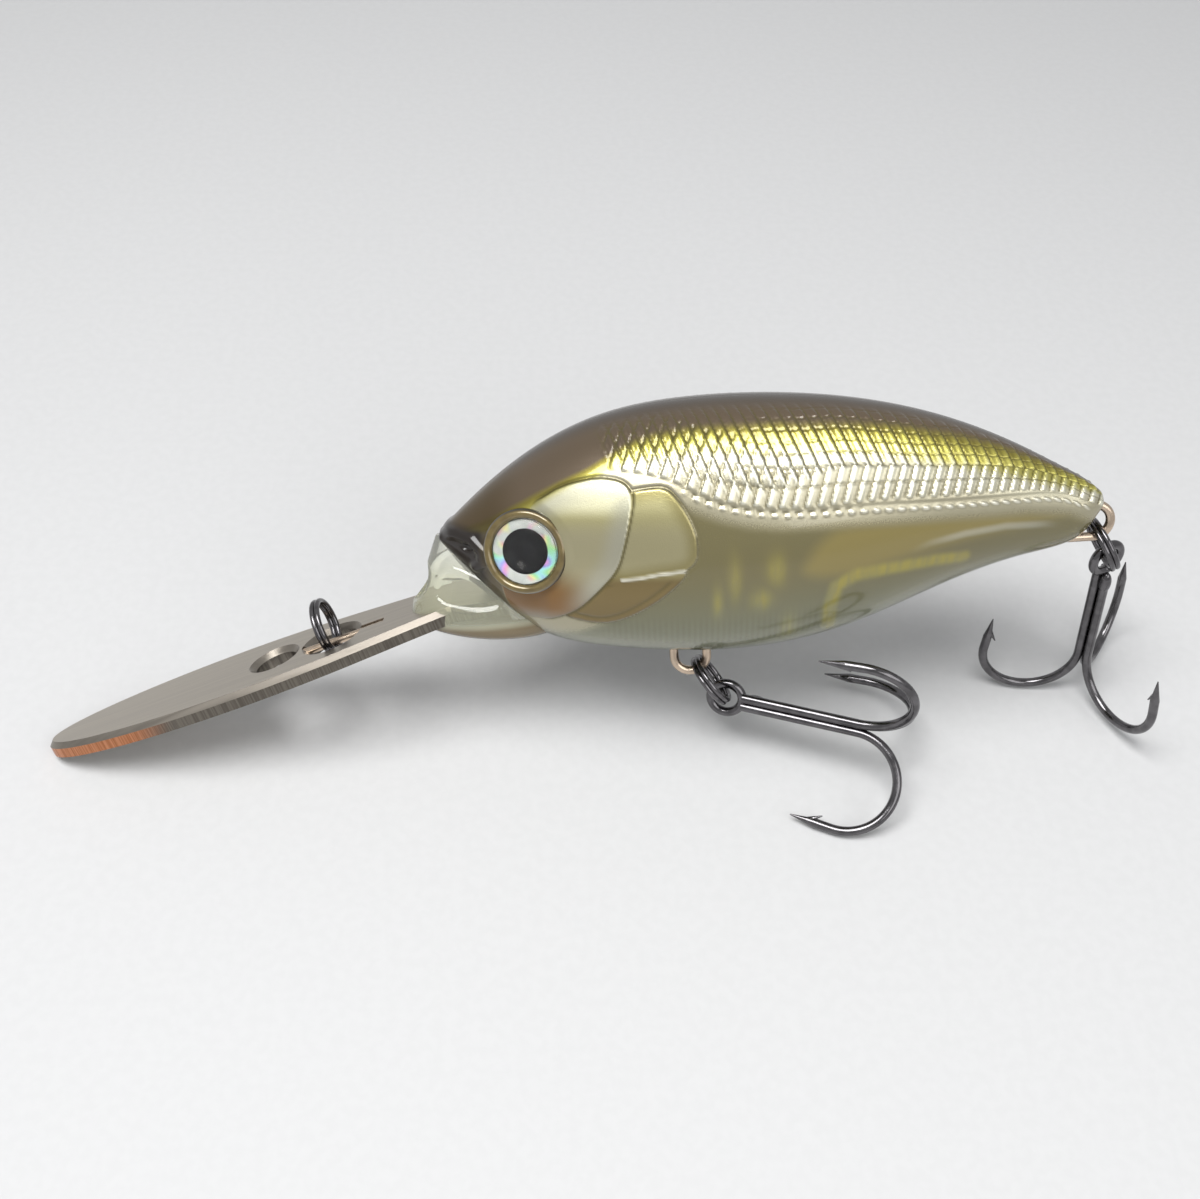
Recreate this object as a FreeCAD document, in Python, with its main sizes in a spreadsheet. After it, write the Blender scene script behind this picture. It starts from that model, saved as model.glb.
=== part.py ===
import FreeCAD, Part
import math
import os
from FreeCAD import Placement, Rotation, Vector

# A deep-diving crankbait.  Every piece is drawn in the lure's own frame: the nose at the origin, X from the
# nose to the tail, Y to the right flank, Z up the back, and the mid-plane of the moulding at Y = 0.  At the
# end the whole lure is leant on its lip and hooks, as it rests on a table.

# Driving sizes, in millimetres and degrees.  The name is the alias of the cell in the sheet "sizes".
SIZES = {
    # moulded body
    "body_length": 64.2,
    "back_height": 11.6,
    "belly_depth": 13.8,
    "body_width": 18.6,
    "cavity_first_share": 0.2,
    "cavity_last_share": 0.92,
    "shell_wall": 1.3,
    "tail_thickness": 3.2,
    # eyes
    "front_cover_rise": 0.22,
    "rear_cover_rise": 0.14,
    "lower_cover_rise": 0.18,
    "mouth_radius": 2.6,
    "mouth_reach": 3.6,
    "mouth_drop": 4.6,
    "barb_flare": 32.0,
    "barb_root": 0.62,
    "barb_length": 1.7,
    "eye_diameter": 6.3,
    "eye_back": 8.6,
    "eye_height": -0.4,
    "eye_rim_wall": 0.8,
    "eye_rim_proud": 0.5,
    "eye_pocket_depth": 1.3,
    "eye_foil_thickness": 0.2,
    "pupil_diameter": 4.3,
    "pupil_thickness": 0.3,
    "eye_toe_out": 13.0,
    "eye_tilt_up": 9.0,
    # diving lip
    "lip_length": 45.7,
    "lip_width": 11.8,
    "lip_slot_side": 0.6,
    "lip_slot_length": 8.0,
    "lip_root_width": 7.2,
    "lip_thickness": 1.6,
    "lip_bevel": 0.55,
    "lip_angle": 17.3,
    "lip_bend_back": 0.7,
    "lip_bend_drop": 6.8,
    "tang_length": 10.0,
    "tang_angle": 6.0,
    "front_hole_reach": 19.8,
    "tie_hole_reach": 13.4,
    "lip_hole_diameter": 4.4,
    "tie_hole_diameter": 5.4,
    "hole_rim": 0.55,
    # line tie
    "tie_wire_diameter": 0.8,
    "tie_wire_depth": 0.5,
    "tie_wire_end_gap": 0.9,
    "tie_wire_end_length": 3.0,
    # split rings
    "ring_outside": 5.8,
    "ring_wire": 0.56,
    # hangers
    "hanger_wire": 0.9,
    "hanger_outside": 4.2,
    "hanger_root_length": 4.5,
    "belly_hanger_back": 23.9,
    "belly_hanger_drop": 17.15,
    "tail_hanger_out": 1.2,
    "tail_hanger_drop": 3.1,
    # treble hooks
    "hook_wire": 0.95,
    "hook_length": 18.6,
    "hook_gap": 10.0,
    "hook_point_rise": 4.3,
    "hook_point_taper": 2.6,
    "hook_point_lean": 6.0,
    "hook_eye_outside": 4.2,
    "braze_gap": 0.02,
    # inside the body
    "ballast_diameter": 7.5,
    "ballast_length": 8.0,
    "ballast_back": 33.0,
    "ballast_drop": 7.2,
    "chamber_outside": 7.6,
    "chamber_wall": 0.7,
    "chamber_length": 27.0,
    "chamber_front": 19.5,
    "chamber_height": 1.8,
    "rattle_ball_diameter": 5.4,
    "foil_thickness": 0.3,
    "foil_front": 38.0,
    "foil_length": 20.5,
    "foil_drop": 10.5,
    "foil_height": 8.0,
    "foil_inner_edge": 2.6,
    "foil_gap": 0.4,
    # fits
    "ring_play": 0.08,
    "ball_play": 0.06,
    "rib_edge": 0.9,
    "rib_fit": 0.03,
    # how the rings and hooks lie
    "belly_ring_lean": 35.0,
    "tail_hang_lean": 25.0,
    "tail_ring_swing": 31.0,
    "belly_hook_yaw": -15.5,
    "belly_hook_dip": 10.0,
    "belly_hook_turn": 0.0,
    "tail_hook_yaw": 90.0,
    "tail_hook_dip": 68.0,
    "tail_hook_turn": 245.0,
    # resting attitude
    "rest_roll": 24.0,
    "rest_pitch": 4.1,
}

# Stations of the moulded body: distance from the nose as a share of body_length, back line as a share of
# back_height, belly line as a share of belly_depth, half width as a share of half body_width.
STATIONS = [
    (0.000, 0.00, 0.06, 0.14),
    (0.050, 0.25, 0.40, 0.41),
    (0.132, 0.59, 0.76, 0.69),
    (0.255, 0.90, 0.94, 0.91),
    (0.374, 1.00, 1.00, 1.00),
    (0.492, 1.00, 0.99, 0.99),
    (0.623, 0.92, 0.86, 0.88),
    (0.771, 0.70, 0.59, 0.65),
    (0.891, 0.39, 0.43, 0.41),
    (0.950, 0.20, 0.37, 0.28),
    (0.981, 0.09, 0.27, 0.21),
    (1.000, 0.00, 0.13, 0.14),
]
# Levels of the clear mouth, from the snout down: height, front, back and half width, in mm.
JAW_LEVELS = [
    (-0.5, -0.5, 5.6, 1.5),
    (-2.4, -1.3, 8.0, 2.6),
    (-5.0, -2.4, 10.0, 3.7),
    (-7.8, -3.6, 11.4, 4.3),
    (-9.6, -2.5, 11.8, 4.3),
    (-11.0, 0.6, 11.0, 3.4),
    (-11.9, 4.2, 10.0, 2.0),
]
# The gill covers, seen from the side: distance behind the nose and height, in mm.
FRONT_COVER = [
    (9.0, 4.2), (12.3, 5.5), (16.6, 6.4), (18.8, 5.4), (18.6, 2.8),
    (17.6, -1.0), (15.4, -4.1), (12.0, -7.0), (8.6, -7.2),
]
REAR_COVER = [
    (17.6, 5.4), (20.6, 5.6), (22.6, 5.0), (24.3, 2.4),
    (24.7, 0.0), (23.6, -2.2), (17.4, -3.0), (16.8, 1.0),
]
LOWER_COVER = [
    (17.2, -2.6), (23.6, -2.2), (22.4, -4.0), (19.0, -6.7),
    (16.2, -7.9), (12.6, -7.2), (14.0, -5.0),
]

doc = FreeCAD.newDocument("crankbait_lure")
sheet = doc.addObject("Spreadsheet::Sheet", "sizes")
for row, (alias, value) in enumerate(SIZES.items(), start=1):
    sheet.set("A%d" % row, alias)
    sheet.set("B%d" % row, str(value))
    sheet.setAlias("B%d" % row, alias)
doc.recompute()

PIECES = []
HOMES = {}


def size(name):
    """The value that the sheet holds under this alias."""
    return float(getattr(sheet, name))


def bind(piece, **formulas):
    """Ties properties of a piece to cells of the sheet."""
    for prop, formula in formulas.items():
        piece.setExpression(prop, formula)
    return piece


def sized(prefix):
    """Writes a formula with every sheet name spelt out in full."""
    words = prefix.replace("(", " ( ").replace(")", " ) ").split()
    return " ".join("sizes." + word if word in SIZES else word for word in words)


def keep(piece, name):
    """Marks an object as one finished piece of the lure."""
    piece.Label = name
    PIECES.append(piece)
    return piece


def shaped(name, shape):
    """A finished piece whose form is worked out below."""
    piece = doc.addObject("Part::Feature", name)
    piece.Shape = shape
    HOMES[name] = Placement(shape.Placement)
    return keep(piece, name)


# ---------------------------------------------------------------- body


def section(share, inset):
    """Half a cross-section of the body on the right of the mid-plane, drawn inset from the outside."""
    along, back, belly, half = share
    x = along * size("body_length")
    top = back * size("back_height") - inset
    bottom = -belly * size("belly_depth") + inset
    reach = half * size("body_width") / 2 - inset
    waist = bottom + 0.52 * (top - bottom)
    centre = Vector(x, 0, waist)
    side = Vector(x, reach, waist)
    crown = Vector(x, 0, top)
    keel = Vector(x, 0, bottom)
    upper = quarter(centre, crown, side)
    lower = quarter(centre, side, keel)
    return Part.Wire([upper, lower, Part.LineSegment(keel, crown).toShape()])


def quarter(centre, start, end):
    """A quarter of an ellipse about centre, from start to end."""
    weight = math.sqrt(0.5)
    corner = start + end - centre
    curve = Part.BSplineCurve()
    curve.buildFromPolesMultsKnots([start, corner, end], [3, 3], [0, 1], False, 2, [1, weight, 1])
    return curve.toShape()


def half_body():
    """The right half of the body, solid."""
    return Part.makeLoft([section(share, 0) for share in STATIONS], True, False)


def cavity_loft(inset):
    """The right half of the hollow's length, drawn inset from the outside."""
    first = size("cavity_first_share")
    last = size("cavity_last_share")
    inner = [share for share in STATIONS if first < share[0] < last]
    return Part.makeLoft([section(share, inset) for share in inner], True, False)


def half_cavity():
    """The hollow inside the right half."""
    return cavity_loft(size("shell_wall"))


def gill_cover(outline, rise):
    """A raised gill cover: the body grown by its rise, inside an outline drawn from the side."""
    grown = Part.makeLoft([section(share, -rise) for share in STATIONS], True, False)
    curve = Part.BSplineCurve()
    curve.interpolate([Vector(x, 0, z) for x, z in outline], PeriodicFlag=True)
    prism = Part.Face(Part.Wire([curve.toShape()])).extrude(Vector(0, size("body_width"), 0))
    return grown.common(prism)


def eye_placement(side=1):
    """An eye's frame: its origin on the flank and its Z axis outwards, on the right, 1, or the left, -1."""
    toe = math.radians(size("eye_toe_out"))
    tilt = math.radians(size("eye_tilt_up"))
    look = Vector(-math.sin(toe), side * math.cos(toe) * math.cos(tilt), math.sin(tilt))
    seat = Vector(size("eye_back"), 0, size("eye_height"))
    ray = Part.LineSegment(seat, seat + Vector(0, size("body_width"), 0)).toShape()
    reach = max(v.Point.y for v in half_body().common(ray).Vertexes)
    return Placement(Vector(seat.x, side * reach, seat.z), Rotation(Vector(0, 0, 1), look))


def disc(radius, low, high, side=1):
    """A round plate on an eye's axis, between two heights."""
    plate = Part.makeCylinder(radius, high - low, Vector(0, 0, low))
    plate.Placement = eye_placement(side)
    return plate


def lens(side):
    """The clear dome over the eye: a spherical cap on a short skirt, hollowed for the pupil."""
    radius = size("eye_diameter") / 2
    floor = size("eye_foil_thickness") - size("eye_pocket_depth")
    rise = size("eye_rim_proud") + 0.5 * size("eye_pocket_depth")
    skirt = Part.makeCylinder(radius, -floor, Vector(0, 0, floor))
    ball_radius = (radius ** 2 + rise ** 2) / (2 * rise)
    ball = Part.makeSphere(ball_radius, Vector(0, 0, rise - ball_radius))
    cap = ball.common(Part.makeCylinder(radius, rise, Vector(0, 0, 0)))
    dome = skirt.fuse(cap).removeSplitter()
    dome.Placement = eye_placement(side)
    return dome.cut(pupil(side))


def pupil(side):
    low = size("eye_foil_thickness") - size("eye_pocket_depth")
    return disc(size("pupil_diameter") / 2, low, low + size("pupil_thickness"), side)


def eye_foil(side):
    low = -size("eye_pocket_depth")
    return disc(size("eye_diameter") / 2, low, low + size("eye_foil_thickness"), side)


def eye_rim():
    """The raised rim moulded round the eye."""
    radius = size("eye_diameter") / 2 + size("eye_rim_wall")
    return disc(radius, -size("eye_pocket_depth") - 0.5, size("eye_rim_proud"))


def eye_pocket():
    return disc(size("eye_diameter") / 2, -size("eye_pocket_depth"), size("body_width"))


def mirrored(shape):
    return shape.mirror(Vector(0, 0, 0), Vector(0, 1, 0))


# ---------------------------------------------------------------- lip


def lip_frame():
    """The lip's own frame: origin on its upper face at the bend, X forwards to the tip, Y to the right."""
    angle = math.radians(size("lip_angle"))
    forward = Vector(-math.cos(angle), 0, -math.sin(angle))
    return Placement(
        Vector(size("lip_bend_back"), 0, -size("lip_bend_drop")),
        Rotation(forward, Vector(0, -1, 0), Vector(0, 0, 1), "XYZ"),
    )


def tang_frame():
    """The tang's frame: the same origin, X backwards into the head."""
    angle = math.radians(size("tang_angle"))
    back = Vector(math.cos(angle), 0, math.sin(angle))
    return Placement(
        Vector(size("lip_bend_back"), 0, -size("lip_bend_drop")),
        Rotation(back, Vector(0, 1, 0), Vector(0, 0, 1), "XYZ"),
    )


def lip_outline(inset):
    """The lip seen from above: widening from the root, then a half ellipse at the tip."""
    root = size("lip_root_width") / 2 - inset
    wide = size("lip_width") / 2 - inset
    length = size("lip_length") - inset
    shoulder = 0.50 * size("lip_length")
    right = Part.BSplineCurve()
    right.interpolate(
        [
            Vector(0, root, 0),
            Vector(0.5 * shoulder, 0.5 * (root + wide) + 0.06 * wide, 0),
            Vector(shoulder, wide, 0),
        ],
        InitialTangent=Vector(1, 0.08, 0),
        FinalTangent=Vector(1, 0, 0),
    )
    tip_right = Part.BSplineCurve()
    reach = length - shoulder
    weight = math.sqrt(0.5)
    tip_right.buildFromPolesMultsKnots(
        [Vector(shoulder, wide, 0), Vector(shoulder + reach, wide, 0), Vector(shoulder + reach, 0, 0)],
        [3, 3], [0, 1], False, 2, [1, weight, 1],
    )
    edges = [right.toShape(), tip_right.toShape()]
    edges += [edge.mirror(Vector(0, 0, 0), Vector(0, 1, 0)) for edge in reversed(edges)]
    edges.append(Part.LineSegment(Vector(0, -root, 0), Vector(0, root, 0)).toShape())
    return Part.Wire(Part.sortEdges(edges)[0])


def lip_plate():
    """The plate, with a bevel round its upper edge."""
    thick = size("lip_thickness")
    bevel = size("lip_bevel")
    lower = Part.Face(lip_outline(0)).extrude(Vector(0, 0, thick - bevel))
    lower.translate(Vector(0, 0, -thick))
    low = lip_outline(0)
    low.translate(Vector(0, 0, -bevel))
    upper = Part.makeLoft([low, lip_outline(bevel)], True, True)
    return lower.fuse(upper).removeSplitter()


def lip_hole(reach, diameter):
    """A through hole with a countersunk rim, on the lip's centre line."""
    bore = diameter / 2
    rim = size("hole_rim")
    thick = size("lip_thickness")
    hole = Part.makeCylinder(bore, thick * 3, Vector(reach, 0, -thick * 2))
    sink = Part.makeCone(bore, bore + rim, rim, Vector(reach, 0, -rim))
    return hole.fuse(sink)


def tang(clearance=0.0):
    """The part of the lip that is moulded into the head."""
    wide = size("lip_root_width") / 2 + clearance
    thick = size("lip_thickness") + 2 * clearance
    corner = Vector(0, -wide, -thick + clearance)
    plate = Part.makeBox(size("tang_length") + clearance, 2 * wide, thick, corner)
    plate.Placement = tang_frame()
    return plate


def tie_wire_run():
    """The straight run of the line tie's wire, from behind the rear hole to near the front one."""
    radius = size("tie_wire_diameter") / 2
    start = size("tie_hole_reach") - size("tie_hole_diameter") / 2 - size("tie_wire_end_length")
    end = size("front_hole_reach") - size("lip_hole_diameter") / 2 - size("tie_wire_end_gap")
    foot = Vector(start, 0, -size("tie_wire_depth"))
    return Part.makeCylinder(radius, end - start, foot, Vector(1, 0, 0))


def tie_wire():
    """The stainless wire let into the lip, which bridges the rear hole."""
    rod = tie_wire_run()
    rod.Placement = lip_frame()
    return rod


def tie_groove():
    """The slot that the wire lies in, open at the lip's upper face."""
    rod = tie_wire_run()
    box = rod.BoundBox
    corner = Vector(box.XMin, box.YMin, box.Center.z)
    open_side = Part.makeBox(box.XLength, box.YLength, box.ZLength, corner)
    return open_side.fuse(rod)


def diving_lip():
    plate = lip_plate()
    plate = plate.cut(lip_hole(size("front_hole_reach"), size("lip_hole_diameter")))
    plate = plate.cut(lip_hole(size("tie_hole_reach"), size("tie_hole_diameter")))
    plate = plate.cut(tie_groove())
    plate.Placement = lip_frame()
    return plate.fuse(tang()).removeSplitter()


# ---------------------------------------------------------------- mouth


def jaw_ring(level):
    """A level outline of the clear mouth: an ellipse given by its height, front, back and half width."""
    height, front, back, half = level
    middle = (front + back) / 2
    reach = (back - front) / 2
    across = Vector(middle, half, height)
    along = Vector(middle + reach, 0, height)
    curve = Part.Ellipse(along, across, Vector(middle, 0, height))
    return Part.Wire([curve.toShape()])


def clear_jaw():
    """The clear moulded mouth that holds the lip: a jaw that opens forwards, and a chin below the lip."""
    jaw = Part.makeLoft([jaw_ring(level) for level in JAW_LEVELS], True, False)
    gape = Part.makeSphere(size("mouth_radius"), Vector(-size("mouth_reach"), 0, -size("mouth_drop")))
    jaw = jaw.cut(gape)
    jaw = jaw.cut(half_body()).cut(mirrored(half_body()))
    jaw = jaw.cut(lip_slot())
    return max(jaw.Solids, key=lambda solid: solid.Volume)


def lip_slot():
    """The space that the lip and its tang take up in the mouth."""
    thick = size("lip_thickness")
    wide = size("lip_root_width") / 2 + size("lip_slot_side")
    run = Part.makeBox(size("lip_slot_length"), 2 * wide, thick, Vector(0, -wide, -thick))
    run.Placement = lip_frame()
    return run.fuse(tang()).removeSplitter()


# ---------------------------------------------------------------- wire parts


def swept(edges, radius):
    """Round wire along a path of edges that meet tangentially."""
    path = Part.Wire(edges)
    first = edges[0]
    start = first.valueAt(first.FirstParameter)
    along = first.tangentAt(first.FirstParameter)
    ring = Part.Wire([Part.Circle(start, along, radius).toShape()])
    return path.makePipeShell([ring], True, True)


def hanger(bottom):
    """A U of wire in the mid-plane; bottom is the outside of its bend."""
    wire = size("hanger_wire")
    bend = (size("hanger_outside") - wire) / 2
    centre = bottom + Vector(0, 0, wire / 2 + bend)
    rise = bend + size("hanger_root_length")
    front = centre + Vector(-bend, 0, 0)
    back = centre + Vector(bend, 0, 0)
    low = centre + Vector(0, 0, -bend)
    edges = [
        Part.LineSegment(front + Vector(0, 0, rise), front).toShape(),
        Part.Arc(front, low, back).toShape(),
        Part.LineSegment(back, back + Vector(0, 0, rise)).toShape(),
    ]
    return swept(edges, wire / 2)


def belly_hanger():
    return hanger(Vector(size("belly_hanger_back"), 0, -size("belly_hanger_drop")))


def tail_loop_centre(bend):
    """The centre of the tail hanger's loop, which stands out behind the tail."""
    return Vector(size("body_length") + size("tail_hanger_out") - bend, 0, -size("tail_hanger_drop"))


def tail_hanger():
    """The tail hanger: the same wire, its loop turned to stand out behind the tail."""
    wire = size("hanger_wire")
    bend = (size("hanger_outside") - wire) / 2
    centre = tail_loop_centre(bend)
    top = centre + Vector(0, 0, bend)
    low = centre + Vector(0, 0, -bend)
    back = centre + Vector(bend, 0, 0)
    inwards = Vector(-size("hanger_root_length") - 1.5, 0, 0)
    edges = [
        Part.LineSegment(top + inwards, top).toShape(),
        Part.Arc(top, back, low).toShape(),
        Part.LineSegment(low, low + inwards).toShape(),
    ]
    return swept(edges, wire / 2)


def split_ring(name):
    """Two turns of hard wire lying against each other, in the ring's own XY plane."""
    turns = []
    for side, sign in (("upper", "1"), ("lower", "-1")):
        turn = doc.addObject("Part::Torus", name + "_" + side + "_turn")
        bind(turn, Radius1=sized("( ring_outside - ring_wire ) / 2"), Radius2=sized("ring_wire / 2"))
        turn.setExpression("Placement.Base.z", sized(sign + " * 0.45 * ring_wire"))
        turns.append(turn)
    ring = doc.addObject("Part::MultiFuse", name)
    ring.Shapes = turns
    return keep(ring, name)


def hook(angle):
    """One hook of a treble: shank, round bend and tapered point, at an angle about the treble's axis."""
    radius = size("hook_wire") / 2
    offset = (size("hook_wire") + size("braze_gap")) / math.sqrt(3)
    bend = size("hook_gap") / 2
    low = -(size("hook_length") - bend)
    lean = math.radians(size("hook_point_lean"))
    top = Vector(offset, 0, -size("hook_eye_outside") / 2 + radius)
    start = Vector(offset, 0, low)
    centre = Vector(offset + bend, 0, low)
    bottom = centre + Vector(0, 0, -bend)
    leave = centre + Vector(bend * math.cos(lean), 0, bend * math.sin(lean))
    along = Vector(-math.sin(lean), 0, math.cos(lean))
    taper = size("hook_point_taper")
    straight = size("hook_point_rise") - taper
    edges = [
        Part.LineSegment(top, start).toShape(),
        Part.Arc(start, bottom, leave).toShape(),
        Part.LineSegment(leave, leave + along * straight).toShape(),
    ]
    wire = swept(edges, radius)
    point = Part.makeCone(radius, radius * 0.12, taper, leave + along * straight, along)
    shape = wire.fuse([point, barb(leave + along * (straight + 0.35 * taper), along)]).removeSplitter()
    shape.rotate(Vector(0, 0, 0), Vector(0, 0, 1), angle)
    return shape


def barb(foot, along):
    """The barb inside a hook's point: a spike cut up from the wire, pointing back down it."""
    flare = math.radians(size("barb_flare"))
    inwards = Vector(-along.z, 0, along.x)
    heading = inwards * math.sin(flare) - along * math.cos(flare)
    return Part.makeCone(size("barb_root") / 2, size("barb_root") * 0.1, size("barb_length"), foot, heading)


def double_hook():
    """One wire bent into two hooks, with the eye between them.  The eye looks along X."""
    radius = size("hook_wire") / 2
    eye = Part.makeTorus(size("hook_eye_outside") / 2 - radius, radius, Vector(0, 0, 0), Vector(1, 0, 0))
    return eye.fuse([hook(120), hook(-120)]).removeSplitter()


def single_hook():
    """The third hook, brazed to the first two below the eye."""
    low = -size("hook_eye_outside") / 2 - size("hook_wire") * 0.6
    span = 2 * size("hook_length")
    below = Part.makeBox(2 * span, 2 * span, span, Vector(-span, -span, low - span))
    return hook(0).common(below)


# ---------------------------------------------------------------- inside the body


def flash_foil():
    """The bright foil that lines the lower flank inside the shell."""
    gap = size("foil_gap")
    thick = size("foil_thickness")
    outside = cavity_loft(size("shell_wall") + gap)
    inside = cavity_loft(size("shell_wall") + gap + thick)
    skin = outside.cut(inside)
    low = Vector(size("foil_front"), size("foil_inner_edge"), -size("foil_drop"))
    window = Part.makeBox(size("foil_length"), size("body_width"), size("foil_height"), low)
    return max(skin.common(window).Solids, key=lambda solid: solid.Volume)


# ---------------------------------------------------------------- assembly


def lure_place(position, x_axis, y_axis):
    """A placement in the lure's frame from a position and two axes."""
    return Placement(position, Rotation(x_axis, y_axis, x_axis.cross(y_axis), "XYZ"))


def hang_point(kind, lean):
    """The middle of the hanger's wire where a ring leaning aft by lean degrees hangs."""
    wire = size("hanger_wire")
    bend = (size("hanger_outside") - wire) / 2
    lean = math.radians(lean)
    centre = Vector(size("belly_hanger_back"), 0, -size("belly_hanger_drop") + wire / 2 + bend)
    if kind == "tail":
        centre = tail_loop_centre(bend)
    return centre + Vector(bend * math.sin(lean), 0, -bend * math.cos(lean))


def ring_place(kind, lean, swing):
    """Where a ring hangs from its hanger: slid aft round the loop by lean, then swung to the right."""
    reach = (size("ring_outside") - size("ring_wire")) / 2
    seat = (size("ring_wire") + size("hanger_wire")) / 2 + size("ring_play")
    tilt = math.radians(lean)
    swing = math.radians(swing)
    out = Vector(math.sin(tilt), 0, -math.cos(tilt))
    side = Vector(0, 1, 0)
    down = out * math.cos(swing) + side * math.sin(swing)
    across = side * math.cos(swing) - out * math.sin(swing)
    return lure_place(hang_point(kind, lean) + down * (reach - seat), down, across)


def hook_place(ring, yaw, dip, turn):
    """A treble on the far side of a ring: shank turned by yaw and dip, then turned about itself."""
    reach = (size("ring_outside") - size("ring_wire")) / 2
    eye = ring.multVec(Vector(reach, 0, 0))
    yaw, dip, turn = (math.radians(angle) for angle in (yaw, dip, turn))
    shank = Vector(math.cos(dip) * math.cos(yaw), math.cos(dip) * math.sin(yaw), -math.sin(dip))
    level = Vector(0, 0, 1).cross(shank).normalize()
    other = shank.cross(level)
    look = level * math.cos(turn) + other * math.sin(turn)
    return lure_place(eye, look, look.cross(shank))


def ring_stations():
    """The three rings: belly, tail and line tie."""
    lip = lip_frame()
    bar = lip.multVec(Vector(size("tie_hole_reach"), 0, -size("tie_wire_depth")))
    up = lip.Rotation.multVec(Vector(0, 0, 1))
    reach = (size("ring_outside") - size("ring_wire")) / 2
    seat = (size("ring_wire") + size("tie_wire_diameter")) / 2 + size("ring_play")
    tie = lure_place(bar + up * (reach - seat), up, Vector(0, 1, 0))
    return {
        "belly_split_ring": ring_place("belly", size("belly_ring_lean"), 0),
        "tail_split_ring": ring_place("tail", size("tail_hang_lean"), size("tail_ring_swing")),
        "line_tie_ring": tie,
    }


def treble_stations(rings):
    """The two trebles, each on its ring."""
    places = {}
    for end in ("belly", "tail"):
        yaw, dip, turn = (size(end + "_hook_" + angle) for angle in ("yaw", "dip", "turn"))
        places[end + "_treble"] = hook_place(rings[end + "_split_ring"], yaw, dip, turn)
    return places


def along_x(radius, start, length, height):
    """A round bar along X in the mid-plane."""
    return Part.makeCylinder(radius, length, Vector(start, 0, height), Vector(1, 0, 0))


def bulkheads(cavity):
    """The moulded ribs that carry the weight chamber and the ballast."""
    thick = size("shell_wall")
    fit = size("rib_fit")
    edge = size("rib_edge")
    first = size("chamber_front") + 2 * edge
    last = size("chamber_front") + size("chamber_length") - 2 * edge - thick
    ballast_front = size("ballast_back") - size("ballast_length") / 2
    ribs = []
    for start, low in (
        (first, size("chamber_height") - size("chamber_outside")),
        (ballast_front + edge, -size("belly_depth")),
        (ballast_front + size("ballast_length") - edge - thick, -size("belly_depth")),
        (last, size("chamber_height") - size("chamber_outside") / 2),
    ):
        slab = Part.makeBox(thick, size("body_width"), size("back_height") - low, Vector(start, 0, low))
        ribs.append(slab.common(cavity))
    web = ribs[0].fuse(ribs[1:])
    chamber = along_x(size("chamber_outside") / 2 + fit, 0, size("body_length"), size("chamber_height"))
    ballast = along_x(size("ballast_diameter") / 2 + fit, 0, size("body_length"), -size("ballast_drop"))
    return web.cut(chamber).cut(ballast)


def hanger_boss(cavity):
    """The boss that the belly hanger is moulded into."""
    wide = size("hanger_outside") + 2 * size("shell_wall")
    tall = size("hanger_root_length") + 2.0
    low = -size("belly_hanger_drop") + size("hanger_outside") / 2
    start = size("belly_hanger_back") - wide / 2
    block = Part.makeBox(wide, size("hanger_wire") / 2 + size("shell_wall"), tall, Vector(start, 0, low))
    return block.common(cavity)


def right_shell(tools):
    """The right half of the body, hollow, with its ribs, eye seat and slots."""
    covers = [
        gill_cover(FRONT_COVER, size("front_cover_rise")),
        gill_cover(REAR_COVER, size("rear_cover_rise")),
        gill_cover(LOWER_COVER, size("lower_cover_rise")),
    ]
    outer = half_body().fuse(covers)
    cavity = half_cavity()
    shell = outer.fuse(eye_rim()).cut(cavity)
    span = size("body_length")
    other_half = Part.makeBox(3 * span, span, 2 * span, Vector(-span, -span, -span))
    shell = shell.cut(other_half)
    shell = shell.fuse([bulkheads(cavity), hanger_boss(cavity)])
    shell = shell.cut(eye_pocket())
    for tool in tools:
        shell = shell.cut(tool)
    shell = max(shell.Solids, key=lambda solid: solid.Volume)
    return shell


def ballast():
    """The fixed weight: a short bar low in the belly."""
    start = size("ballast_back") - size("ballast_length") / 2
    return along_x(size("ballast_diameter") / 2, start, size("ballast_length"), -size("ballast_drop"))


def chamber():
    """The closed tube that the casting weight rolls in."""
    outer = size("chamber_outside") / 2
    wall = size("chamber_wall")
    start = size("chamber_front")
    length = size("chamber_length")
    tube = along_x(outer, start, length, size("chamber_height"))
    return tube.cut(along_x(outer - wall, start + wall, length - 2 * wall, size("chamber_height")))


def ball_seat():
    """The casting weight at the front of its chamber, lying in the bottom of the tube."""
    inside = size("chamber_outside") / 2 - size("chamber_wall")
    radius = size("rattle_ball_diameter") / 2
    start = size("chamber_front") + size("chamber_wall") + radius + size("ball_play")
    return Vector(start, 0, size("chamber_height") - (inside - radius - size("ball_play")))


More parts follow.
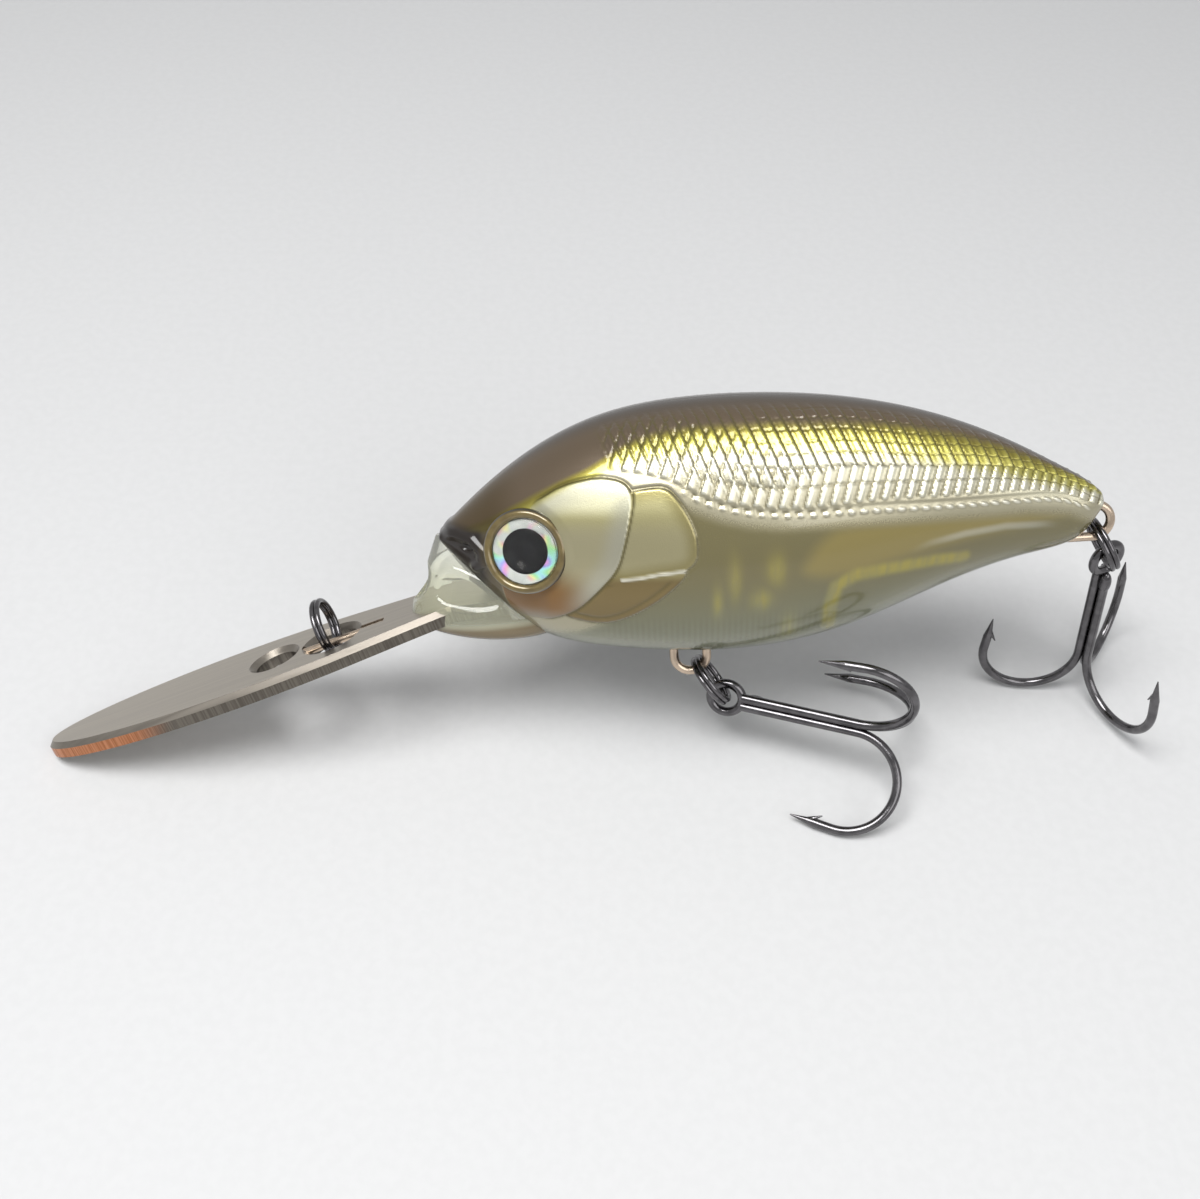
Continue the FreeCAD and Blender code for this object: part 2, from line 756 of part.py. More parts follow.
def build():
    slots = [lip_slot(), belly_hanger(), tail_hanger()]
    right = right_shell(slots)
    shaped("right_body_shell", right)
    shaped("left_body_shell", mirrored(right))
    shaped("clear_jaw", clear_jaw())
    shaped("diving_lip", diving_lip())
    shaped("line_tie_wire", tie_wire())
    shaped("belly_hanger", belly_hanger())
    shaped("tail_hanger", tail_hanger())
    for side, sign in (("right", 1), ("left", -1)):
        shaped(side + "_eye_foil", eye_foil(sign))
        shaped(side + "_eye_pupil", pupil(sign))
        shaped(side + "_eye_lens", lens(sign))
    shaped("right_flash_foil", flash_foil())
    shaped("left_flash_foil", mirrored(flash_foil()))
    shaped("belly_ballast", ballast())
    shaped("weight_chamber", chamber())
    ball = doc.addObject("Part::Sphere", "casting_weight")
    bind(ball, Radius=sized("rattle_ball_diameter / 2"))
    keep(ball, "casting_weight")
    rings = ring_stations()
    trebles = treble_stations(rings)
    places = {"casting_weight": Placement(ball_seat(), Rotation())}
    for name, place in rings.items():
        split_ring(name)
        places[name] = place
    for name, place in trebles.items():
        shaped(name + "_double_hook", double_hook())
        shaped(name + "_single_hook", single_hook())
        places[name + "_double_hook"] = place
        places[name + "_single_hook"] = place
    doc.recompute()
    rest = resting_place(places)
    for piece in PIECES:
        piece.Placement = rest.multiply(home_of(piece, places))
    doc.recompute()
    return rest, places


def attitude():
    """The lure's attitude at rest: rolled on to its right side and pitched tail up."""
    roll = Rotation(Vector(1, 0, 0), -size("rest_roll"))
    pitch = Rotation(Vector(0, 1, 0), -size("rest_pitch"))
    return Placement(Vector(), pitch.multiply(roll))


def home_of(piece, places):
    """Where a piece sits in the lure's own frame."""
    return places.get(piece.Label, HOMES.get(piece.Label, Placement()))


def resting_place(places):
    """The placement that stands the leaning lure on the floor, centred over the origin."""
    lean = attitude()
    box = FreeCAD.BoundBox()
    for piece in PIECES:
        shape = piece.Shape.copy()
        shape.Placement = lean.multiply(home_of(piece, places))
        box.add(shape.optimalBoundingBox(True, False))
    shift = Vector(-box.Center.x, -box.Center.y, -box.ZMin)
    return Placement(shift, Rotation()).multiply(lean)


def check_pieces():
    for thing in doc.Objects:
        if "Invalid" in thing.State or "Error" in thing.State:
            raise RuntimeError("failed: " + thing.Label)
    for piece in PIECES:
        if piece.Shape.isNull() or not piece.Shape.isValid() or not piece.Shape.Solids:
            raise RuntimeError("bad shape: " + piece.Label)


REST, PLACES = build()
check_pieces()
os.makedirs("parts", exist_ok=True)
for piece in PIECES:
    piece.Shape.exportStep("parts/%s.step" % piece.Label)
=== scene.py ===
import math

import bmesh
import bpy
import numpy as np
from mathutils import Matrix, Vector


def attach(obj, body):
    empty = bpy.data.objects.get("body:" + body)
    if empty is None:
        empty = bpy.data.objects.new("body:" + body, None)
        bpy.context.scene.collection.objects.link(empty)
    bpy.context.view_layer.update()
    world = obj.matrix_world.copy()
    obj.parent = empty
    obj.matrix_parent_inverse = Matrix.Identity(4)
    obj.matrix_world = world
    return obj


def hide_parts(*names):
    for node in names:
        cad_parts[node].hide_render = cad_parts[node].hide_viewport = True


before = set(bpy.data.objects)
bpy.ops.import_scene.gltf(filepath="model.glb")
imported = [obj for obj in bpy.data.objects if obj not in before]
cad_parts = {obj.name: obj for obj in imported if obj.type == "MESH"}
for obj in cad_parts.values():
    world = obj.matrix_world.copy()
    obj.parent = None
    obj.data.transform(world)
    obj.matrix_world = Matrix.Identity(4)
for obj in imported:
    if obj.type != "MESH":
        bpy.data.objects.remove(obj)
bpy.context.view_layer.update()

MM = 0.001

# ---------------------------------------------------------------- where the lure lies

REST_ROLL = math.radians(-24.0)
REST_PITCH = math.radians(-4.1)
REST_SHIFT = Vector((-16.3561, 5.7085, 23.3682))
TURN = Matrix.Rotation(REST_PITCH, 3, "Y") @ Matrix.Rotation(REST_ROLL, 3, "X")
TURN_ARRAY = np.array(TURN)


def at_rest(points):
    """Points in the lure's own frame, in mm, as metres in the frame that it lies in."""
    return (np.asarray(points) @ TURN_ARRAY.T + np.array(REST_SHIFT)) * MM


# ---------------------------------------------------------------- the body's form

LENGTH, BACK, BELLY, WIDTH = 64.2, 11.6, 13.8, 18.6
WAIST = 0.52  # height of the widest line over the keel, as a share of the body's height
WALL = 1.2
JOINT_GAP = 0.012  # each half stops this far from the middle plane
# shares of LENGTH, BACK, BELLY and WIDTH
STATIONS = np.array([
    (0.000, 0.00, 0.06, 0.14),
    (0.050, 0.25, 0.40, 0.41),
    (0.132, 0.59, 0.76, 0.69),
    (0.255, 0.90, 0.94, 0.91),
    (0.374, 1.00, 1.00, 1.00),
    (0.492, 1.00, 0.99, 0.99),
    (0.623, 0.92, 0.86, 0.88),
    (0.771, 0.70, 0.59, 0.65),
    (0.891, 0.39, 0.43, 0.41),
    (0.950, 0.20, 0.37, 0.28),
    (0.981, 0.09, 0.27, 0.21),
    (1.000, 0.00, 0.13, 0.14),
])
LIP_ANGLE = math.radians(17.3)
EYE_SEAT = (8.6, -0.4)
EYE_RADIUS = 3.15
EYE_POCKET = 1.0


def curve_through(xs, ys):
    """A smooth function through points: a natural cubic spline."""
    xs = np.asarray(xs, float)
    ys = np.asarray(ys, float)
    count = len(xs)
    step = np.diff(xs)
    matrix = np.eye(count)
    right = np.zeros(count)
    for i in range(1, count - 1):
        matrix[i, i - 1] = step[i - 1]
        matrix[i, i] = 2 * (step[i - 1] + step[i])
        matrix[i, i + 1] = step[i]
        right[i] = 3 * ((ys[i + 1] - ys[i]) / step[i] - (ys[i] - ys[i - 1]) / step[i - 1])
    bend = np.linalg.solve(matrix, right)

    def value(x):
        x = np.asarray(x, float)
        i = np.clip(np.searchsorted(xs, x) - 1, 0, count - 2)
        d = x - xs[i]
        slope = (ys[i + 1] - ys[i]) / step[i] - step[i] * (2 * bend[i] + bend[i + 1]) / 3
        cubic = (bend[i + 1] - bend[i]) / (3 * step[i])
        return ys[i] + slope * d + bend[i] * d ** 2 + cubic * d ** 3

    return value


top_line = curve_through(STATIONS[:, 0] * LENGTH, STATIONS[:, 1] * BACK)
keel_line = curve_through(STATIONS[:, 0] * LENGTH, -STATIONS[:, 2] * BELLY)
half_width = curve_through(STATIONS[:, 0] * LENGTH, STATIONS[:, 3] * WIDTH / 2)
lateral_line = curve_through(
    [0, 12, 23.5, 25.1, 26.9, 29.1, 32.3, 38.8, 48.3, 56.4, 60.6, 62.7, 64.2],
    [6.5, 6.2, 5.1, 4.3, 3.6, 3.0, 2.5, 2.2, 1.5, 0.8, -0.1, -1.1, -1.8],
)

# where the brown of the back ends and where the pearl of the flank starts, as shares of the half girth
brown_edge = curve_through(
    [0, 10.5, 15.7, 19.4, 28.7, 46.1, 58.5, 64.2],
    [0.31, 0.265, 0.23, 0.19, 0.17, 0.16, 0.125, 0.08],
)
pearl_edge = curve_through(
    [0, 11.5, 15.2, 23.7, 34.1, 45.7, 51.8, 58.1, 64.2],
    [0.37, 0.324, 0.28, 0.258, 0.267, 0.30, 0.322, 0.318, 0.25],
)


def body_point(x, angle, side, inset=0.0):
    """A point of the skin; angle runs from the crown, 0, to the keel, pi."""
    top = top_line(x) - inset
    keel = keel_line(x) + inset
    reach = half_width(x) - inset
    waist = keel + WAIST * (top - keel)
    cos = np.cos(angle)
    z = waist + np.where(cos > 0, top - waist, waist - keel) * cos
    y = side * reach * np.sin(angle)
    return np.stack([x + 0 * y, y, z], axis=-1)


# ---------------------------------------------------------------- meshes


def new_object(name, verts, faces, body, material, attributes=None):
    """A mesh from points in the lure's frame, in mm, that moves with a body."""
    mesh = bpy.data.meshes.new(name)
    mesh.from_pydata([tuple(p) for p in at_rest(verts)], [], faces)
    mesh.validate()
    bm = bmesh.new()
    bm.from_mesh(mesh)
    bmesh.ops.recalc_face_normals(bm, faces=bm.faces)
    bm.to_mesh(mesh)
    bm.free()
    for key, values in (attributes or {}).items():
        layer = mesh.attributes.new(key, "FLOAT", "POINT")
        layer.data.foreach_set("value", np.asarray(values, np.float32).ravel())
    mesh.polygons.foreach_set("use_smooth", [True] * len(mesh.polygons))
    mesh.materials.append(material)
    thing = bpy.data.objects.new(name, mesh)
    bpy.context.scene.collection.objects.link(thing)
    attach(thing, body)
    return thing


def grid_faces(rows, columns, flip=False, wrap=False):
    """The quads between rows of points; wrap closes each row into a ring."""
    faces = []
    last = columns if wrap else columns - 1
    for i in range(rows - 1):
        for j in range(last):
            k = (j + 1) % columns
            quad = (i * columns + j, i * columns + k, (i + 1) * columns + k, (i + 1) * columns + j)
            faces.append(quad[::-1] if flip else quad)
    return faces


# ---------------------------------------------------------------- relief of the flank

FRONT_PLATE = [
    (9.5, 3.9), (10.8, 4.6), (12.3, 5.5), (14.7, 6.2), (16.6, 6.4), (18.4, 6.0), (19.0, 4.8), (18.6, 2.8),
    (18.0, 0.5), (17.2, -2.0), (15.4, -4.1), (12.9, -6.7), (9.0, -8.2), (6.0, -7.0), (6.0, 0.0),
]
REAR_PLATE = [
    (17.0, 5.0), (19.4, 5.3), (20.6, 5.5), (22.0, 5.5), (22.8, 4.8), (23.7, 3.5), (24.5, 1.7), (24.7, 0.3),
    (24.6, -1.2), (23.6, -2.25), (21.1, -2.5), (19.2, -2.8), (17.3, -3.05), (15.5, -2.0), (15.5, 3.0),
]
LOWER_LOBE = [
    (17.4, -2.4), (23.6, -2.2), (23.4, -2.9), (22.7, -3.7), (21.0, -5.3), (19.0, -6.7), (17.1, -7.7),
    (15.2, -8.1), (13.0, -7.6), (11.5, -7.0), (12.0, -4.0),
]
CELL = 1.18  # length of a scale at the head
FAR = 1e9
SLOPE = 0.36  # how far the rows of scales lean, in scales per scale of height


def edge_distance(x, z, start, end):
    """Distance to the straight edge between two points."""
    (ax, az), (bx, bz) = start, end
    ex, ez = bx - ax, bz - az
    t = np.clip(((x - ax) * ex + (z - az) * ez) / (ex * ex + ez * ez), 0, 1)
    return np.hypot(x - ax - t * ex, z - az - t * ez)


def signed_distance(x, z, outline):
    """Distance to a closed outline, positive inside it."""
    points = np.array(outline)
    nearest = np.full(x.shape, FAR)
    inside = np.zeros(x.shape, bool)
    for (ax, az), (bx, bz) in zip(points, np.roll(points, -1, axis=0)):
        ex, ez = bx - ax, bz - az
        nearest = np.minimum(nearest, edge_distance(x, z, (ax, az), (bx, bz)))
        crosses = (az > z) != (bz > z)
        with np.errstate(divide="ignore", invalid="ignore"):
            cut = ax + (z - az) * ex / np.where(ez == 0, 1e-9, ez)
        inside ^= crosses & (x < cut)
    return np.where(inside, nearest, -nearest)


def ramp(value, start, end):
    """A smooth step from 0 at start to 1 at end."""
    t = np.clip((value - start) / (end - start), 0, 1)
    return t * t * (3 - 2 * t)


def rounded(outline, turns=2):
    """An outline with its corners cut twice, so it curves."""
    points = np.array(outline)
    for _ in range(turns):
        ahead = np.roll(points, -1, axis=0)
        cuts = np.stack([0.75 * points + 0.25 * ahead, 0.25 * points + 0.75 * ahead], axis=1)
        points = cuts.reshape(-1, 2)
    return points


FRONT_CURVE = rounded(FRONT_PLATE)
REAR_CURVE = rounded(REAR_PLATE)
LOBE_CURVE = rounded(LOWER_LOBE)


def phase_along(x):
    """How many scales lie between the nose and x: they get smaller towards the tail."""
    return x / CELL + 0.0035 * np.maximum(0, x - 44) ** 2


def groove(value, wide):
    """1 on whole numbers, falling to 0 within wide of them."""
    gap = np.abs(value - np.round(value))
    return 1 - ramp(gap, 0.3 * wide, wide)


def plate(value):
    """A plate's back, high just after each whole number and falling to the next."""
    part = value - np.floor(value)
    return ramp(part, 0.05, 0.17) * (1 - ramp(part, 0.26, 0.66))


COVER_SEAM = [(17.6, -2.95), (19.2, -2.8), (21.0, -2.45), (23.4, -2.2)]
BEAK_RIDGE = [(0.6, 0.25), (1.8, 0.35), (3.3, 0.1), (4.3, -0.9), (4.3, -2.0), (3.6, -2.6)]
CLEAR_EDGE = [
    (0, -9.5), (10, -9.2), (13, -8.6), (16, -7.0), (19, -2.5), (21.5, 2.0), (23.5, 4.6), (25.1, 3.9),
    (26.9, 3.2), (29.1, 2.6), (32.3, 2.1), (38.8, 1.8), (48.3, 1.1), (56.4, 0.4), (60.6, -0.5), (64.2, -2.2),
]
BAND = [
    (33.6, -3.2), (34.4, -1.4), (36.0, 0.5), (38.3, 1.6), (48.3, 1.0), (56.4, 0.2), (61.5, -1.2),
    (59.0, -2.0), (52.0, -2.4), (45.0, -3.4), (39.0, -4.8), (35.0, -4.6),
]
ANGLE_STRIP = [
    (37.2, -10.4), (37.0, -7.6), (37.6, -5.2), (39.4, -4.2), (43.0, -4.0), (47.1, -3.9), (50.0, -4.1),
]
INNER_STREAK = [(44.0, -2.6), (46.5, -1.9), (50.0, -1.5), (54.0, -1.4), (58.0, -1.9), (60.5, -2.4)]
# x, z, half width and half height of each painted glint of the reflectors inside
GLINTS = [
    (30.5, -5.9, 1.0, 1.2), (31.9, -2.8, 0.9, 1.6), (28.0, -3.5, 0.6, 2.2), (33.2, -9.6, 0.8, 1.6),
    (26.4, -6.0, 0.5, 1.8),
]


def line_distance(x, z, points):
    """Distance to an open line of points."""
    nearest = np.full(x.shape, FAR)
    for start, end in zip(points, points[1:]):
        nearest = np.minimum(nearest, edge_distance(x, z, start, end))
    return nearest


def relief(x, z, rise, angle):
    """Height of the skin over its plain form, in mm, and the masks that its colours use.

    rise is the distance along the skin above the lateral line, in mm.
    """
    front = signed_distance(x, z, FRONT_CURVE)
    rear = signed_distance(x, z, REAR_CURVE)
    lobe = signed_distance(x, z, LOBE_CURVE)
    eye = np.hypot(x - EYE_SEAT[0], z - EYE_SEAT[1])
    cover = np.maximum(np.maximum(front, rear), lobe)
    ahead = ramp(x, 9.2, 10.8)
    height = 0.20 * ramp(front, -0.16, 0.10) * ahead * ramp(eye, 3.9, 4.9)
    height = np.maximum(height, 0.13 * ramp(rear, -0.16, 0.10))
    height = np.maximum(height, 0.16 * ramp(lobe, -0.18, 0.12))
    front_line = (1 - ramp(np.abs(front + 0.10), 0.05, 0.19)) * ahead
    rear_line = (1 - ramp(np.abs(rear + 0.10), 0.05, 0.20)) * (front < -0.1) * (lobe < -0.35)
    lobe_line = (1 - ramp(np.abs(lobe + 0.08), 0.05, 0.20)) * (front < -0.1) * (rear < -0.35)
    inner_line = 0.7 * (1 - ramp(np.abs(lobe - 0.75), 0.05, 0.22)) * (front < -0.3) * ramp(-rear, 0.5, 1.2)
    lobe_line = np.maximum(lobe_line, inner_line)
    line = np.maximum(np.maximum(front_line, rear_line), lobe_line)
    line = line * ramp(eye, 4.0, 4.5)
    seam_ridge = 1 - ramp(line_distance(x, z, COVER_SEAM), 0.06, 0.24)
    height = height - 0.12 * line + 0.16 * seam_ridge
    # scales above the lateral line: rows of leaning plates, crossed near the head by a second set
    start = ramp(-cover, 0.35, 1.1) * ramp(x + 0.45 * (z - 7.0), 16.6, 18.4)
    scales = start * ramp(rise, 0.55, 0.75) * ramp(angle, 0.20, 0.42)
    count = phase_along(x)
    first = 0.75 + 0.30 * ramp(x, 32, 46) - 0.45 * ramp(x, 54, 63)
    tall = 1.75 - 0.35 * ramp(x, 36, 48) - 0.72 * ramp(x, 48, 64)
    row = (rise - first) / tall
    row = np.where(row > 2, 2 + (row - 2) / 0.72, row)
    climb = np.maximum(rise, 0) / CELL
    lower = count - SLOPE * climb
    upper = count + SLOPE * climb
    near_head = 1 - ramp(x, 28, 38)
    lower_share = ramp(row, -0.05, 0.05) * (1 - ramp(row, 1.95 + 2.2 * near_head, 2.15 + 2.6 * near_head))
    near_cover = 1 - ramp(x, 29, 40)
    upper_share = ramp(row, 1.95 - 1.75 * near_cover, 2.05 - 0.9 * near_cover)
    across = groove(row, 0.075) * (row > 0.5) * ramp(x - 0.6 * row, 25, 30)
    edges = np.maximum(groove(lower, 0.13) * lower_share, groove(upper, 0.15) * upper_share)
    # the grooves are cut into the height and also darken the skin's colour as painted shade
    pattern = np.maximum(edges, 0.8 * across) * scales
    # the plates' backs rise in height and also lighten the skin's colour as painted highlights
    lower_plate = plate(lower) * lower_share * (1 - 0.65 * upper_share)
    shine = np.maximum(lower_plate, plate(-upper) * upper_share) * scales
    height = height + 0.05 * scales + 0.13 * shine - 0.13 * pattern
    # the beads of the lateral line
    along = (count - np.round(count)) * CELL
    slant = along + 1.1 * rise * ramp(x, 44, 54)
    beads = ramp(1.0 - np.hypot(slant / (0.30 + 0.20 * ramp(x, 34, 44)), rise / 0.27), 0.0, 0.55)
    beads = beads * ramp(x, 23.3, 24.2) * (1 - ramp(x, 62.0, 63.0))
    pits = ramp(1.0 - np.hypot((along + 0.2) / 0.36, (rise - 0.2) / 0.32), 0.0, 0.6) * (1 - ramp(x, 36, 42))
    pits = pits * ramp(x, 23.3, 24.2)
    height = height + 0.15 * beads - 0.16 * pits
    pattern = np.maximum(pattern, 0.75 * pits * (1 - beads))
    # the beak: a ridge over the nostril, and a lip along the mouth's edge
    ridge = 1 - ramp(line_distance(x, z, BEAK_RIDGE), 0.15, 0.75)
    nostril = ramp(1.0 - np.hypot((x - 2.9) / 0.75, (z + 0.75) / 0.5), 0.0, 0.6)
    height = height + 0.34 * ridge - 0.30 * nostril
    # translucent belly with fine upright ribs
    edge = np.interp(x, [p[0] for p in CLEAR_EDGE], [p[1] for p in CLEAR_EDGE])
    clear = ramp(edge - z, -0.1, 1.6) * ramp(-cover, -0.05, 0.25)
    ribs = 0.5 + 0.5 * np.cos(x * 2 * math.pi / 0.55)
    ribs = ribs * ramp(x, 14, 17) * (1 - ramp(x, 34, 42)) * ramp(-z, 6.5, 9.0)
    height = height + 0.012 * ribs * clear
    band = ramp(signed_distance(x, z, rounded(BAND)), -0.4, 1.6)
    strip = 1 - ramp(line_distance(x, z, ANGLE_STRIP), 0.2, 1.1)
    streak = 1 - ramp(line_distance(x, z, INNER_STREAK), 0.05, 0.6)
    streak = streak * ramp(x, 44, 50) * (1 - ramp(x, 56.5, 60.0))
    glint = np.zeros(x.shape)
    for gx, gz, wide, tall in GLINTS:
        glint = np.maximum(glint, np.exp(-((x - gx) / wide) ** 2 - ((z - gz) / tall) ** 2))
    masks = {
        "pattern": pattern, "line": line, "beads": beads, "clear": clear, "cover": cover, "front": front,
        "rear": rear, "eye": eye, "band": band, "strip": np.maximum(strip, 0.8 * glint), "ribs": ribs,
        "shine": shine, "seam": seam_ridge, "streak": streak,
    }
    return height, masks


SIDES = {"left": -1, "right": 1}


def skin(side_name, material):
    """One half of the hollow body: the carved outside, the plain inside and the joint between them."""
    side = SIDES[side_name]
    rows, columns = 430, 200
    scaled_columns, scaled_share = 135, 0.62  # the scaled upper part of the half girth has finer columns
    crowding = 0.012  # rows lie closer at the two ends
    edge = np.linspace(0, 1, rows)
    x = LENGTH * (edge - crowding * np.sin(2 * math.pi * edge))
    x[0], x[-1] = 0.0, LENGTH
    upper = np.linspace(0.0, scaled_share, scaled_columns)
    lower = np.linspace(scaled_share, 1.0, columns - scaled_columns + 1)[1:]
    angle = np.concatenate([upper, lower]) * math.pi
    X, A = np.meshgrid(x, angle, indexing="ij")
    base = body_point(X, A, side)
    arc = np.zeros(X.shape)
    steps = np.linalg.norm(np.diff(base, axis=1), axis=2)
    arc[:, 1:] = np.cumsum(steps, axis=1)
    z_line = lateral_line(x)
    at_line = np.array([np.interp(-z_line[i], -base[i, :, 2], arc[i]) for i in range(rows)])
    rise = at_line[:, None] - arc
    height, masks = relief(base[..., 0], base[..., 2], rise, A)
    height = height - EYE_POCKET * ramp(masks.pop("eye"), EYE_RADIUS + 0.35, EYE_RADIUS + 0.05)
    along = np.gradient(base, axis=0)
    around = np.gradient(base, axis=1)
    normal = np.cross(around, along)
    normal /= np.maximum(np.linalg.norm(normal, axis=2, keepdims=True), 1e-9)
    from_axis = np.stack([0 * X, base[..., 1] + side * 0.01, base[..., 2] + 1], axis=-1)
    outward = np.sign(np.sum(normal * from_axis))
    normal *= outward
    fade = np.minimum(ramp(x, 0, 1.5), ramp(LENGTH - x, 0, 1.0))[:, None]
    outer = base + normal * (height * fade)[..., None]
    outer[..., 1] = np.where(np.sin(A) < 1e-6, side * JOINT_GAP, outer[..., 1])
    outer[..., 1] = side * np.maximum(side * outer[..., 1], JOINT_GAP)
    verts = outer.reshape(-1, 3)
    faces = grid_faces(rows, columns, flip=(side > 0))
    # the inside wall
    inner_rows, inner_columns = 90, 40
    xi = np.linspace(2.2, LENGTH - 2.5, inner_rows)
    ai = np.linspace(0, math.pi, inner_columns)
    XI, AI = np.meshgrid(xi, ai, indexing="ij")
    inner = body_point(XI, AI, side, inset=WALL)
    inner[..., 1] = side * np.maximum(side * inner[..., 1], JOINT_GAP)
    start = len(verts)
    faces += [tuple(i + start for i in f) for f in grid_faces(inner_rows, inner_columns, flip=(side < 0))]
    verts = np.concatenate([verts, inner.reshape(-1, 3)])
    joint = joint_faces(rows, columns, x, inner_rows, inner_columns, xi, start)
    faces += [f if side < 0 else f[::-1] for f in joint]
    paint = (A / math.pi - brown_edge(X)) / (pearl_edge(X) - brown_edge(X))
    masks.update(along=base[..., 0], up=base[..., 2], crown=A / math.pi, paint=paint)
    # values that leave the inside wall plain and clear; any other mask is 0 there
    hidden = {"paint": 3.0, "front": -9.0, "rear": -9.0, "cover": -9.0, "crown": 0.9, "clear": 1.0}
    attributes = {}
    for key, values in masks.items():
        fill = {"along": inner[..., 0].ravel(), "up": inner[..., 2].ravel()}.get(key)
        if fill is None:
            fill = np.full(inner.size // 3, hidden.get(key, 0.0))
        attributes[key] = np.concatenate([values.ravel(), fill])
    thing = new_object(side_name + "_body_half", verts, faces, "lure", material, attributes=attributes)
    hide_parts(side_name + "_body_shell")


def joint_faces(rows, columns, x, inner_rows, inner_columns, xi, start):
    """The flat edge where the two halves meet, along the back and the keel, and the two ends."""
    faces = []
    near = [int(np.argmin(np.abs(xi - value))) for value in x]
    for j_out, j_in, turn in ((0, 0, True), (columns - 1, inner_columns - 1, False)):
        for i in range(rows - 1):
            a, b = i * columns + j_out, (i + 1) * columns + j_out
            c, d = start + near[i + 1] * inner_columns + j_in, start + near[i] * inner_columns + j_in
            face = (a, b, c, d) if c != d else (a, b, c)
            faces.append(face[::-1] if turn else face)
    for row, flip in ((0, False), (rows - 1, True)):
        cap = [row * columns + j for j in range(columns)]
        faces.append(tuple(cap[::-1] if flip else cap))
    for row, flip in ((0, True), (inner_rows - 1, False)):
        cap = [start + row * inner_columns + j for j in range(inner_columns)]
        faces.append(tuple(cap[::-1] if flip else cap))
    for row, inner_row in ((0, 0), (rows - 1, inner_rows - 1)):
        a, b = row * columns, (row + 1) * columns - 1
        c, d = start + (inner_row + 1) * inner_columns - 1, start + inner_row * inner_columns
        faces.append((a, b, c, d))
    return faces


# ---------------------------------------------------------------- materials

BUMP_DEPTH = 0.00004  # metres


class Nodes:
    """A material's node tree, with short ways to add nodes."""

    def __init__(self, name):
        self.material = bpy.data.materials.new(name)
        self.material.use_nodes = True
        self.tree = self.material.node_tree
        self.shader = self.tree.nodes["Principled BSDF"]

    def place(self):
        return self.tree.nodes.new("ShaderNodeTexCoord").outputs["Object"]

    def attribute(self, name):
        node = self.tree.nodes.new("ShaderNodeAttribute")
        node.attribute_name = name
        return node.outputs["Fac"]

    def math(self, operation, a, b=0.0, c=0.0):
        node = self.tree.nodes.new("ShaderNodeMath")
        node.operation = operation
        for i, value in enumerate((a, b, c)):
            if isinstance(value, bpy.types.NodeSocket):
                self.tree.links.new(value, node.inputs[i])
            else:
                node.inputs[i].default_value = value
        return node.outputs[0]

    def ramp(self, value, start, end, low=0.0, high=1.0):
        node = self.tree.nodes.new("ShaderNodeMapRange")
        node.interpolation_type = "SMOOTHSTEP"
        self.tree.links.new(value, node.inputs["Value"])
        node.inputs["From Min"].default_value = start
        node.inputs["From Max"].default_value = end
        node.inputs["To Min"].default_value = low
        node.inputs["To Max"].default_value = high
        return node.outputs["Result"]

    def mix(self, factor, a, b):
        """Colour a, or colour b where the factor is 1; the node keeps its colours in inputs 6 and 7."""
        node = self.tree.nodes.new("ShaderNodeMix")
        node.data_type = "RGBA"
        for i, value in ((0, factor), (6, a), (7, b)):
            if isinstance(value, bpy.types.NodeSocket):
                self.tree.links.new(value, node.inputs[i])
            elif i == 0:
                node.inputs[i].default_value = value
            else:
                node.inputs[i].default_value = (*value, 1.0)
        return node.outputs[2]

    def noise(self, scale, detail=2.0, vector=None):
        node = self.tree.nodes.new("ShaderNodeTexNoise")
        self.tree.links.new(self.place() if vector is None else vector, node.inputs["Vector"])
        node.inputs["Scale"].default_value = scale
        node.inputs["Detail"].default_value = detail
        return node.outputs["Fac"]

    def drawn_noise(self, scale, rotation, detail=2.0, kind="TEXTURE"):
        """Noise drawn out along one direction."""
        turn = self.tree.nodes.new("ShaderNodeMapping")
        turn.vector_type = kind
        turn.inputs["Scale"].default_value = scale
        turn.inputs["Rotation"].default_value = rotation
        self.tree.links.new(self.place(), turn.inputs["Vector"])
        return self.noise(1.0, detail, turn.outputs["Vector"])

    def part_of(self, vector, axis):
        """One coordinate of a vector."""
        split = self.tree.nodes.new("ShaderNodeSeparateXYZ")
        self.tree.links.new(vector, split.inputs["Vector"])
        return split.outputs[axis]

    def bump(self, height, strength):
        node = self.tree.nodes.new("ShaderNodeBump")
        node.inputs["Strength"].default_value = strength
        node.inputs["Distance"].default_value = BUMP_DEPTH
        self.tree.links.new(height, node.inputs["Height"])
        return node.outputs["Normal"]

    def finish(self, **inputs):
        """Set the shader's inputs, from values or from other nodes' outputs."""
        for key, value in inputs.items():
            socket = self.shader.inputs[key.replace("_", " ")]
            if isinstance(value, bpy.types.NodeSocket):
                self.tree.links.new(value, socket)
            else:
                socket.default_value = value
        return self.material


